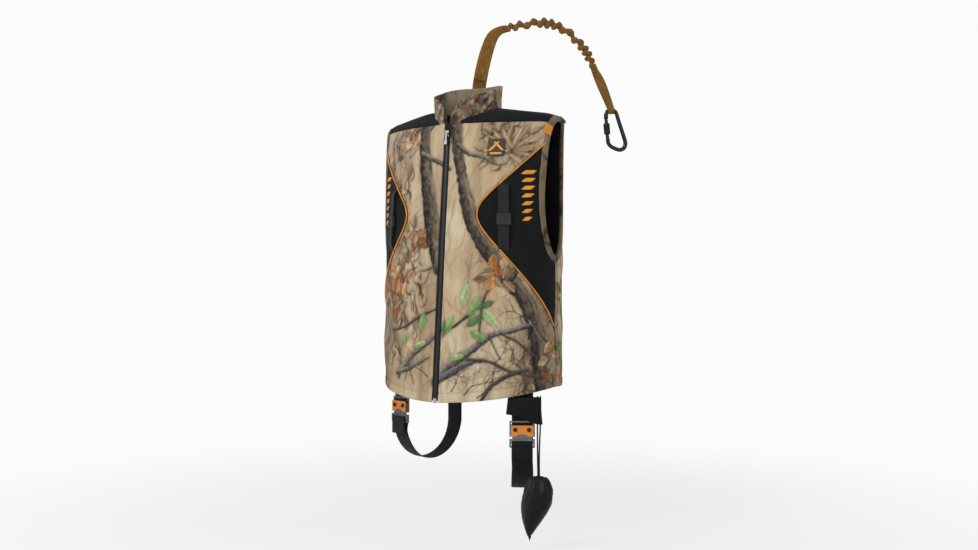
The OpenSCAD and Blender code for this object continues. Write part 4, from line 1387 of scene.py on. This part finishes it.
for side in (1, -1):
    tail = suffix(side)
    zs = np.linspace(-30, STRAP_LEN + 17, 90)
    dip = 11.5 * (1 - ease((zs + 26) / 28)) + 11.5 * (1 - ease((STRAP_LEN + 15 - zs) / 26))
    path = strap_point(0, 0.9 + dip, zs) * np.array([side, 1, 1])
    across = (strap_point(1, 0, zs) - strap_point(0, 0, zs)) * np.array([side, 1, 1])
    band = ribbon("binocular_strap_webbing_" + tail, path, across, 23, 1.8, GREY_WEB)
    finish_piece(band, "black_webbing", "vest", "binocular_strap_" + tail)
    keep("strap_adjuster_" + tail, PLASTIC, 0.6)

# ---------------------------------------------------------------- harness inside
Leg = namedtuple("Leg", "pivot turn drop reach depth back_top bend_above bend_below")
LEGS = {"left": Leg(np.array([174.0, -66, -38]), 30.0, 26.0, 140.0, 92.0, 60.0, 22, 14),
        "right": Leg(np.array([-124.0, -92, -24]), -16.0, 2.0, 157.0, 82.0, 22.0, 20, 12)}


def hip_bend(obj, which):
    """Cloth above a buckle bends over the leg loop's pivot."""
    leg = LEGS[which]
    heights = (leg.bend_above, -leg.bend_below)
    start, end = (tuple((leg.pivot + np.array([0, 0, dz])) * MM) for dz in heights)
    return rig.blend(obj, "vest", "leg_" + which, start=start, end=end)


STRAP_NEAR, WEB_T, WEB_W = -9.5, 2.4, 45.0
for side, hip_th, end_z in ((1, 57.0, -36.0), (-1, 38.5, -22.0)):
    tail = suffix(side)
    parts = []
    for kind in range(3):
        u, t = uv_grid(9, 110)
        spread = mix(-5.6, 5.6, u)
        if kind == 0:
            p = at_z(mix(hip_th, 49.5, t) + spread, mix(end_z, 546.0, t))
        elif kind == 1:
            p = over(49.5 + spread, 543.0, 538.0, t)
        else:
            p = at_z(180 - mix(49.5, 14, t) - spread, mix(543.0, 300.0, t))
        parts.append(sheet("h", flip_grid(p, side), STRAP_NEAR + 0.3 * np.cos(t * 220), WEB_T, WEB))
    for part in parts[1:]:
        part.modifiers.clear()
    web = join("harness_web_" + tail, parts)
    round_shoulder(web)
    finish_piece(hip_bend(web, tail), "black_webbing", None, "harness_webbing_" + tail)
u, t = uv_grid(180, 10)
belt = at_z(mix(70, 290, u), mix(60, 60 + WEB_W, t))
belt = sheet("waist_belt_web", belt, -13.9 + 0.25 * np.cos(u * 900), WEB_T, WEB)
finish_piece(belt, "black_webbing", "vest", "waist_belt")
CHEST_Y, CHEST_Z = -78.0, 380.0
parts = []
for side in (1, -1):
    xs = np.linspace(26, 112, 60)
    y = CHEST_Y + 1 + 1.2 * np.sin(xs / 14) * ease((xs - 48) / 20)
    path = np.stack([xs * side, y, np.full(60, CHEST_Z)], -1)
    parts.append(ribbon("c", path, np.tile([0, 0, 1.0], (60, 1)), 38, 2, WEB))
finish_piece(join("chest_strap_web", parts), "black_webbing", "vest", "chest_strap")
for node in ("chest_buckle_socket", "chest_buckle_clip"):
    keep(node, PLASTIC, 1.0)

# ---------------------------------------------------------------- tether
TETHER_BASE = np.array([-19.0, 72.0, 0.0])
TETHER_TURN = 32.0
PLANE_OUT = turn_z(np.array([0.0, 1.0, 0.0]), TETHER_TURN)


def tether_point(s, z, d=0.0):
    s, z, d = np.broadcast_arrays(np.asarray(s, float), np.asarray(z, float), np.asarray(d, float))
    return TETHER_BASE + turn_z(np.stack([s, d, z], -1), TETHER_TURN)


def plane_path(points, steps=14):
    """Smooth path in the tether's plane through (s, z, half width): places, width directions, half widths."""
    line = smooth_line(points, steps)
    run = unit(np.gradient(line[:, :2], axis=0))
    places = tether_point(line[:, 0], line[:, 1])
    across = tether_point(line[:, 0] - run[:, 1], line[:, 1] + run[:, 0]) - places
    return places, across, line[:, 2]


def seam_thread(p, pitch, length, radius):
    """Stitches on the tether's outer face along the points p."""
    return stitches("b", p, np.tile(-PLANE_OUT, (len(p), 1)), COYOTE_DARK, pitch, length, radius)


def tether_blend(obj, a, b, s, z, reach):
    """Bends smoothly over the joint at plane point (s, z); reach is the start-to-end step in the plane."""
    here, step = tether_point(s, z), tether_point(reach[0], reach[1]) - TETHER_BASE
    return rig.blend(obj, a, b, start=tuple((here - step) * MM), end=tuple((here + step) * MM))


half = 15.5
places, across, widths = plane_path([(-3, 606, half), (-3, 662, half), (4, 708, half), (15, 752, half - 0.5),
                                     (28, 786, 13.5), (44, 801, 10), (62, 806.5, 8)])
wiggle = 1.6 * np.sin(np.linspace(0, 9, len(places)))[:, None] * PLANE_OUT
main = ribbon("w", places + wiggle, across, widths * 2, 3.0, COYOTE, cross=11)
fold_p, fold_a, fold_w = plane_path([(-1, 686, 14), (5, 709, 14), (15, 750, 13.5), (24, 774, 12.5)])
over_layer = ribbon("w", fold_p - PLANE_OUT * 2.9, fold_a, fold_w * 2, 2.2, COYOTE, cross=11)
bars = []
for offset in (-11.5, 11.5):
    p, a, w = plane_path([(-1, 690, 0), (5, 710, 0), (15, 750, 0), (22, 770, 0)])
    bars.append(seam_thread(p + a * offset - PLANE_OUT * 4.1, 3.0, 2.3, 0.6))
# Ends of the threads of two crossed boxes.
BOX_THREADS = [((-11, 692), (22, 727)), ((12, 688), (-2, 731)), ((-6, 690), (12, 689)), ((2, 730), (22, 726)),
               ((3, 738), (35, 770)), ((26, 733), (13, 774)), ((3, 737), (27, 732)), ((12, 773), (34, 769))]
for (s0, z0), (s1, z1) in BOX_THREADS:
    t = np.linspace(0, 1, 24)
    bars.append(seam_thread(tether_point(mix(s0, s1, t), mix(z0, z1, t), -4.15), 2.6, 2.2, 0.65))
web = join("tether_web", [main, over_layer, *bars])
tether_blend(web, "vest", "tether", -3, 622, (0, 9))
finish_piece(web, "coyote_webbing", None, "tether_webbing")

ELASTIC = [(56, 805, 7), (66, 808, 9), (80, 811, 11), (115, 817, 12), (151, 819, 12), (188, 806, 12),
           (222, 779, 12), (246, 747, 11), (258, 722, 9), (264, 706, 7)]
places, across, widths = plane_path(ELASTIC, 44)
run = run_of(places)
inner = ease(run / 14) * ease((run[-1] - run) / 30)
phase = run / 3.5 + 2.1 * np.sin(run / 17) + 1.1 * np.sin(run / 41)
gather = 1 - 0.40 * inner + 0.15 * np.sin(phase * 2 + 0.6) * inner
sag = (3.2 * np.sin(phase) * inner)[:, None] * PLANE_OUT
sag = sag + (3.3 * np.sin(phase + 1.2) * inner)[:, None] * across
elastic = tube("tether_elastic_cloth", places + sag, widths * gather, COYOTE, 26, across, 0.62)


def crumple(obj, amount, cell, seed):
    """Moves each point in or out by smooth noise, in mm."""
    me = obj.data
    co = np.array([v.co for v in me.vertices]) / MM
    n = np.array([v.normal for v in me.vertices])
    shift = amount * cloud(co[:, 0] + 0.7 * co[:, 2], co[:, 1] - 0.5 * co[:, 2], cell, seed, 3)
    me.vertices.foreach_set("co", ((co + n * shift[:, None]) * MM).ravel())
    me.update()


crumple(elastic, 1.9, 9, 91)
tether_blend(elastic, "tether", "tether_arc", 61, 806, (7, 1.5))
finish_piece(elastic, "coyote_webbing", None, "tether_elastic")

END_LOOP = [(258, 724, 7), (264, 708, 8), (272, 692, 10), (279, 676, 10.5), (286, 659, 10), (293, 641, 9),
            (298, 628, 8.2), (300.5, 621, 7.6)]
places, across, widths = plane_path(END_LOOP)
layers = [ribbon("l", places + PLANE_OUT * d, across, widths * 2, 2.2, COYOTE, cross=9) for d in (1.2, -1.2)]
EYE = (301.0, 617.0)
ang = np.linspace(math.radians(95), math.radians(95 + 350), 60)
ring_path = tether_point(np.full(60, EYE[0]), EYE[1] + 6.4 * np.sin(ang), 6.4 * np.cos(ang))
along_bar = np.tile(tether_point(1, 0) - TETHER_BASE, (60, 1))
layers.append(ribbon("l", ring_path, along_bar, 15.0, 2.2, COYOTE, cross=7))
for s0, z0, s1, z1 in ((262, 700, 281, 694), (266, 686, 290, 668), (283, 690, 274, 672)):
    t = np.linspace(0, 1, 16)
    layers.append(seam_thread(tether_point(mix(s0, s1, t), mix(z0, z1, t), -2.5), 2.4, 2.0, 0.6))
finish_piece(join("tether_loop_web", layers), "coyote_webbing", "tether_arc", "tether_end_loop")

# ---------------------------------------------------------------- carabiner
CARABINER = [(289.5, 606, 4.5), (290, 611, 4.5), (292, 615.4, 4.5), (296, 617.1, 4.5), (306, 617.1, 4.5),
             (310.6, 615, 4.5), (313.6, 609, 4.5), (319.5, 590, 4.6), (327, 567, 4.7), (332.6, 549, 4.8),
             (333.4, 539, 4.8), (329.6, 531, 4.8), (321, 527.4, 4.7), (311, 530, 4.6), (302, 534.4, 4.5),
             (296.4, 539.6, 4.5), (293.9, 546, 4.6), (293.1, 553.4, 4.6)]
places, across, widths = plane_path(CARABINER)
body = tube("f", places, widths, GUNMETAL, 20, across)
cheeks = []
for d in (-1, 1):
    pts = [(284.6, 610), (293.6, 610), (293.8, 598.5), (284.4, 598.5)]
    corner = np.array([tether_point(s, z, d * off) for off in (2.3, 4.4) for s, z in pts])
    cheeks.append(corner if d < 0 else corner[OTHER_HAND])
fork = boxes("f", np.array(cheeks), GUNMETAL)
fork.modifiers.new("edges", "BEVEL").width = 1.2 * MM
frame_visual = join("carabiner_body", [body, fork])
finish_piece(frame_visual, "gunmetal", "carabiner", "carabiner_frame")
keep("carabiner_gate", GUNMETAL, 0.4)
keep("gate_pin", BAR_METAL, 0.3)


def lathe(name, origin, axis, profile_zr, material, sides, knurl):
    """Turned part: profile is (distance along axis, radius) in mm; knurl(z, angle) adds to the radius."""
    a = unit(np.cross(axis, [0.2, 1.0, 0.1]))
    b = np.cross(axis, a)
    z, r = np.array(profile_zr, float).T
    ang = np.linspace(0, 2 * np.pi, sides, endpoint=False)
    rr = r[:, None] + knurl(z[:, None], ang[None, :])
    spoke = np.cos(ang)[None, :, None] * a + np.sin(ang)[None, :, None] * b
    p = origin + axis * z[:, None, None] + rr[..., None] * spoke
    obj = new_object(name, p * MM, grid_faces(len(z), sides, False, True)[:, OUTSIDE_IN])
    obj.data.materials.append(material)
    return obj


gate_top, gate_foot = tether_point(289, 603), tether_point(293, 550)
gate_dir = unit(gate_foot - gate_top)
section = [(15, 4.5), (15, 6.2), (15.8, 7.0), (17.8, 7.4), (19.6, 7.4), (20.4, 6.6)]
section += [(20.4 + 0.45 * k, 6.9) for k in range(32)]
section += [(35.2, 6.6), (35.8, 7.4), (37.6, 7.4), (39.2, 6.9), (40, 6.0), (40, 4.5), (15, 4.5)]


def grip(z, ang):
    body_part = ((z > 20.8) & (z < 34.6)).astype(float)
    return body_part * 0.42 * (np.cos(24 * ang + z * 2.1) * np.cos(24 * ang - z * 2.1))


sleeve = lathe("sleeve_turned", gate_top, gate_dir, section, DARK_METAL, 144, grip)
finish_piece(sleeve, "gunmetal", "sleeve", "gate_sleeve")

# ---------------------------------------------------------------- leg loops and buckles


def leg_point(which, x, y, z):
    leg = LEGS[which]
    p = np.broadcast_arrays(np.asarray(x, float), np.asarray(y, float), np.asarray(z, float) - leg.drop)
    return leg.pivot + turn_z(np.stack(p, -1), leg.turn)


# Webbing's side view (y, z): from its tail up, round the slide bar and down to the loop.
LEG_START = [(-6.9, -86), (-6.9, -70), (-6.8, -62), (-6.3, -56), (-5.4, -50), (-3.9, -47), (-1.5, -45.9),
             (1.0, -47), (2.7, -50), (3.5, -56), (3.5, -61), (2.6, -66)]
# Side view of the webbing that holds the buckle frame.
HIP_WEB = {"left": [(-1.5, -30), (-1.5, -20), (-1.2, -13), (1.2, -10), (2.5, -2), (1.4, 8), (1.2, 26)],
           "right": [(-1.5, -30), (-1.5, -20), (-1.2, -13), (1.2, -10), (2.5, -6), (1.4, -2), (1.2, 6)]}
for which, leg in LEGS.items():
    k = np.arange(2, 41)
    y = leg.reach / 2 * (1 - np.cos(np.pi * k / 40))
    loop = np.stack([y, -64 - leg.depth * np.sin(np.pi * k / 40)], -1)
    ends = [(leg.reach, (leg.back_top - 64) / 2), (leg.reach, leg.back_top)]
    yz = np.concatenate([LEG_START, loop, ends])
    line = smooth_line(np.concatenate([yz, np.zeros((len(yz), 1))], 1), 4)
    past_buckle = ease((np.arange(len(line)) - 50) / 30)
    sway = 2.0 * np.sin(np.linspace(0, 7, len(line))) * past_buckle
    twist = 0.10 * np.sin(np.linspace(0, 6, len(line)) + 1) * past_buckle
    path = leg_point(which, sway, line[:, 0], line[:, 1])
    middle = leg_point(which, 0, 0, leg.drop)
    across = leg_point(which, np.cos(twist), np.sin(twist), leg.drop) - middle
    band = ribbon("leg_web_" + which, path, across, WEB_W, WEB_T, WEB, cross=11)
    back_end, front_end = leg_point(which, 0, leg.reach, leg.back_top), leg_point(which, 0, 0, -60)
    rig.blend(band, "leg_" + which, "tongue_" + which, start=tuple(back_end * MM), end=tuple(front_end * MM))
    finish_piece(band, "black_webbing", None, "leg_loop_" + which)
    y, z = np.array(HIP_WEB[which]).T
    tab = smooth_line(leg_point(which, 0, y, z), 8)
    across = np.tile(leg_point(which, 1, 0, leg.drop) - middle, (len(tab), 1))
    hang = ribbon("hip_web_" + which, tab, across, WEB_W - 1, 2.2, WEB, cross=9)
    hidden = ["hip_tab_left"] if which == "left" else []
    finish_piece(hip_bend(hang, which), "black_webbing", None, *hidden)
    for node, material, bevel in (("buckle_frame_", GREY_METAL, 0.6), ("buckle_release_", ORANGE_METAL, 0.7),
                                  ("buckle_rivets_", DARK_METAL, 0.4), ("buckle_tongue_", GREY_METAL, 0.6),
                                  ("slide_bar_", BAR_METAL, 0.3)):
        keep(node + which, material, bevel)

ang = np.linspace(0, 2 * np.pi, 73)[:-1]
rows = []
for k, t in enumerate(np.linspace(0, 1, 26)):
    x = 4 + 33.5 * np.sign(np.cos(ang)) * np.abs(np.cos(ang)) ** 0.5
    y = 1 + 7.6 * np.sign(np.sin(ang)) * np.abs(np.sin(ang)) ** 0.75
    puff = 2.6 * np.sin(np.pi * t) + 1.7 * cloud(x * 1.0 + 3, np.full(72, t * 26) + x * 0.6, 15, 44, 3)
    y = y + np.sign(y - 1) * puff
    low = -15 - 21 * ease((x + 26) / 60)
    lean = 9 * t * ease((x + 25) / 50) - 4 * t
    rows.append(leg_point("left", x + lean, y, mix(21.0, low, t) + 24))
cover = new_object("hip_sleeve_cloth", np.array(rows) * MM, grid_faces(26, 72, False, True))
cover.data.materials.append(BLACK)
solid = cover.modifiers.new("thickness", "SOLIDIFY")
solid.thickness, solid.offset = 1.6 * MM, 0
finish_piece(hip_bend(cover, "left"), "black_fabric", None, "hip_sleeve_left")

# ---------------------------------------------------------------- stuff pouch
POUCH_TOP, CORD_TOP, POUCH_LEN = np.array([225.0, -85, -178]), np.array([206.0, -50, -16]), 134.0
NYLON = cloth_material("pouch_nylon", (0.006, 0.0075, 0.007), 1400, 0.2, 0.30, 0.05)
sides, rings = 96, 72
ts = np.linspace(0, 1, rings)
radius = np.maximum(0.4, 31.0 * np.sin(np.pi * ts ** 0.75) ** 1.02 * (1 - 0.04 * ts) + 6.0 * (1 - ts) ** 8)
ang = np.linspace(0, 2 * np.pi, sides, endpoint=False)
flutes = 0.26 * np.cos(9 * ang + 0.8 * np.sin(3 * ang))[None, :] * np.exp(-(ts / 0.20) ** 1.5)[:, None]
flutes = flutes + 0.05 * np.cos(5 * ang + 1.3)[None, :] * ease((1 - ts) / 0.3)[:, None]
folds = 0.07 * cloud(ang[None, :] * 26 + ts[:, None] * 40, ts[:, None] * 150, 22, 71, 3)
rr = radius[:, None] * (1 + flutes + folds * ease(ts / 0.12)[:, None])
px = rr * np.cos(ang)
py = rr * np.sin(ang) * 0.86
sag = 3.0 * np.cos(ang + 0.6) * ease((ts[:, None] - 0.5) * 2)
pz = np.broadcast_to(-POUCH_LEN * ts[:, None], rr.shape) + sag
shift = 19 * ease(ts * 1.2 - 0.25)[:, None, None] * np.array([0.85, 0.53, 0])
p = POUCH_TOP + np.stack([px, py, pz], -1) - shift
faces = grid_faces(rings, sides, False, True).tolist()
faces.append(list(range(sides)))
faces.append([(rings - 1) * sides + k for k in range(sides)][::-1])
bag = new_object("pouch_cloth", p * MM, faces)
bag.data.materials.append(NYLON)


def cloth_settle(obj, pinned, frames=20, pressure=4.0, slack=0.10, cap=4.5, scale=10.0):
    """Inflates a closed bag of slack cloth, so that it wrinkles; no point moves further than cap mm."""
    me = obj.data
    rest = np.array([v.co for v in me.vertices])
    middle = rest.mean(0)
    me.vertices.foreach_set("co", ((rest - middle) * scale).ravel())
    group = obj.vertex_groups.new(name="pin")
    group.add([int(k) for k in pinned], 1.0, "REPLACE")
    mod = obj.modifiers.new("cloth", "CLOTH")
    s = mod.settings
    s.quality, s.mass = 5, 0.3
    s.tension_stiffness = s.compression_stiffness = 15
    s.shear_stiffness, s.bending_stiffness = 5, 0.4
    s.use_pressure, s.uniform_pressure_force = True, pressure
    s.vertex_group_mass = "pin"
    s.shrink_min = -slack
    s.effector_weights.gravity = 0
    mod.collision_settings.use_collision = False
    scene = bpy.context.scene
    for f in range(1, frames + 1):
        scene.frame_set(f)
    shown = obj.evaluated_get(bpy.context.evaluated_depsgraph_get())
    moved = np.array([v.co for v in shown.data.vertices])
    obj.modifiers.remove(mod)
    obj.vertex_groups.clear()
    scene.frame_set(1)
    step = moved / scale + middle - rest
    size = np.linalg.norm(step, axis=1, keepdims=True)
    step *= np.minimum(1, cap * MM / np.maximum(size, 1e-9))
    me.vertices.foreach_set("co", (rest + step).ravel())
    me.update()
    return obj


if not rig.quick():
    cloth_settle(bag, np.concatenate([np.arange(3 * sides), np.arange((rings - 2) * sides, rings * sides)]))
sub = bag.modifiers.new("smooth", "SUBSURF")
sub.levels = sub.render_levels = 1
finish_piece(bag, "pouch_nylon", "stuff_pouch", "pouch")
cords = []
for k, offset in enumerate((-3.0, 3.0)):
    t = np.linspace(0, 1, 50)[:, None]
    sag = np.array([1.6, -1.2, 0]) * np.sin(np.pi * t * (1 + k)) * (1 if k else -1)
    spread = turn_z(np.array([0, offset, 0.0]), -61) * (1 - 0.55 * t)
    line = mix(CORD_TOP, POUCH_TOP + np.array([0, 0, -2]), t) + spread + sag
    cords.append(tube("c", line, 1.7, WEB, 8))
lock_ang = np.linspace(0, 2 * np.pi, 50)
wave = -4.0 + 0.8 * np.sin(3 * lock_ang)
neck = POUCH_TOP + np.stack([7.4 * np.cos(lock_ang), 6.6 * np.sin(lock_ang), wave], -1)
cords.append(tube("c", neck[:-1], 1.5, WEB, 8, closed=True))
finish_piece(join("pouch_cord_web", cords), "pouch_nylon", "stuff_pouch", "pouch_cords")

# ---------------------------------------------------------------- floor, light and camera
# Metres here. The camera sees the backdrop's brightness; the object is lit by the ambient one.
FLOOR_Z, FLOOR_HALF = -0.335, 30
BACKDROP = 0.97
AMBIENT = 0.5
corners = [(x * FLOOR_HALF, y * FLOOR_HALF, FLOOR_Z) for x, y in ((-1, -1), (1, -1), (1, 1), (-1, 1))]
floor = new_object("floor", corners, [(0, 1, 2, 3)])
n = Nodes("floor_white")
seen = n.add("ShaderNodeLightPath").outputs["Is Camera Ray"]
place = n.add("ShaderNodeTexCoord").outputs["Object"]
distance = n.add("ShaderNodeVectorMath", {0: place}, operation="LENGTH").outputs["Value"]
far = n.add("ShaderNodeMapRange", {"Value": distance, "From Min": 0.5, "From Max": 1.8, "To Min": 0.72},
            interpolation_type="SMOOTHSTEP").outputs[0]
n.finish((0.8, 0.8, 0.8), 0.9)
glow = n.add("ShaderNodeEmission", {"Color": (BACKDROP, BACKDROP, BACKDROP, 1), "Strength": 1.0})
shader = n.add("ShaderNodeMixShader", {0: n.math("MULTIPLY", far, seen)})
n.tree.links.new(n.shader.outputs[0], shader.inputs[1])
n.tree.links.new(glow.outputs[0], shader.inputs[2])
n.tree.links.new(shader.outputs[0], n.tree.nodes["Material Output"].inputs["Surface"])
floor.data.materials.append(n.material)

world = bpy.data.worlds.new("studio")
world.use_nodes = True
tree = world.node_tree
tree.nodes["Background"].inputs["Color"].default_value = (1, 1, 1, 1)
eye_ray = tree.nodes.new("ShaderNodeLightPath")
level = tree.nodes.new("ShaderNodeMapRange")
level.inputs["To Min"].default_value, level.inputs["To Max"].default_value = AMBIENT, BACKDROP
tree.links.new(eye_ray.outputs["Is Camera Ray"], level.inputs["Value"])
tree.links.new(level.outputs[0], tree.nodes["Background"].inputs["Strength"])
bpy.context.scene.world = world
bpy.context.scene.view_settings.view_transform = "Standard"

AIM = Vector((0.036, 0.0225, 0.24))


def soft_light(name, where, size, power):
    lamp = bpy.data.lights.new(name, "AREA")
    lamp.energy, lamp.size = power, size
    obj = bpy.data.objects.new(name, lamp)
    obj.location = where
    obj.rotation_mode = "QUATERNION"
    obj.rotation_quaternion = (AIM - Vector(where)).to_track_quat("-Z", "Y")
    bpy.context.scene.collection.objects.link(obj)
    return obj


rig.stage(floor, soft_light("key_light", (-0.6, -2.6, 1.6), 1.3, 40),
         soft_light("rim_light", (2.6, 0.9, 1.6), 1.2, 9), soft_light("low_light", (1.4, -2.0, -0.1), 1.2, 3))
camera = bpy.data.objects.new("camera", bpy.data.cameras.new("camera"))
camera.data.lens, camera.data.sensor_width = 44.4, 36
camera.location = AIM + Vector((0.53, -0.848, 0)) * 2.7
camera.rotation_mode = "QUATERNION"
camera.rotation_quaternion = (AIM - camera.location).to_track_quat("-Z", "Y")
bpy.context.scene.collection.objects.link(camera)
bpy.context.scene.camera = camera

with open("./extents.json", "w") as f:
    json.dump({"cad": [list(c) for c in cad_box], "shown": [list(c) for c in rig.bounds()]}, f)
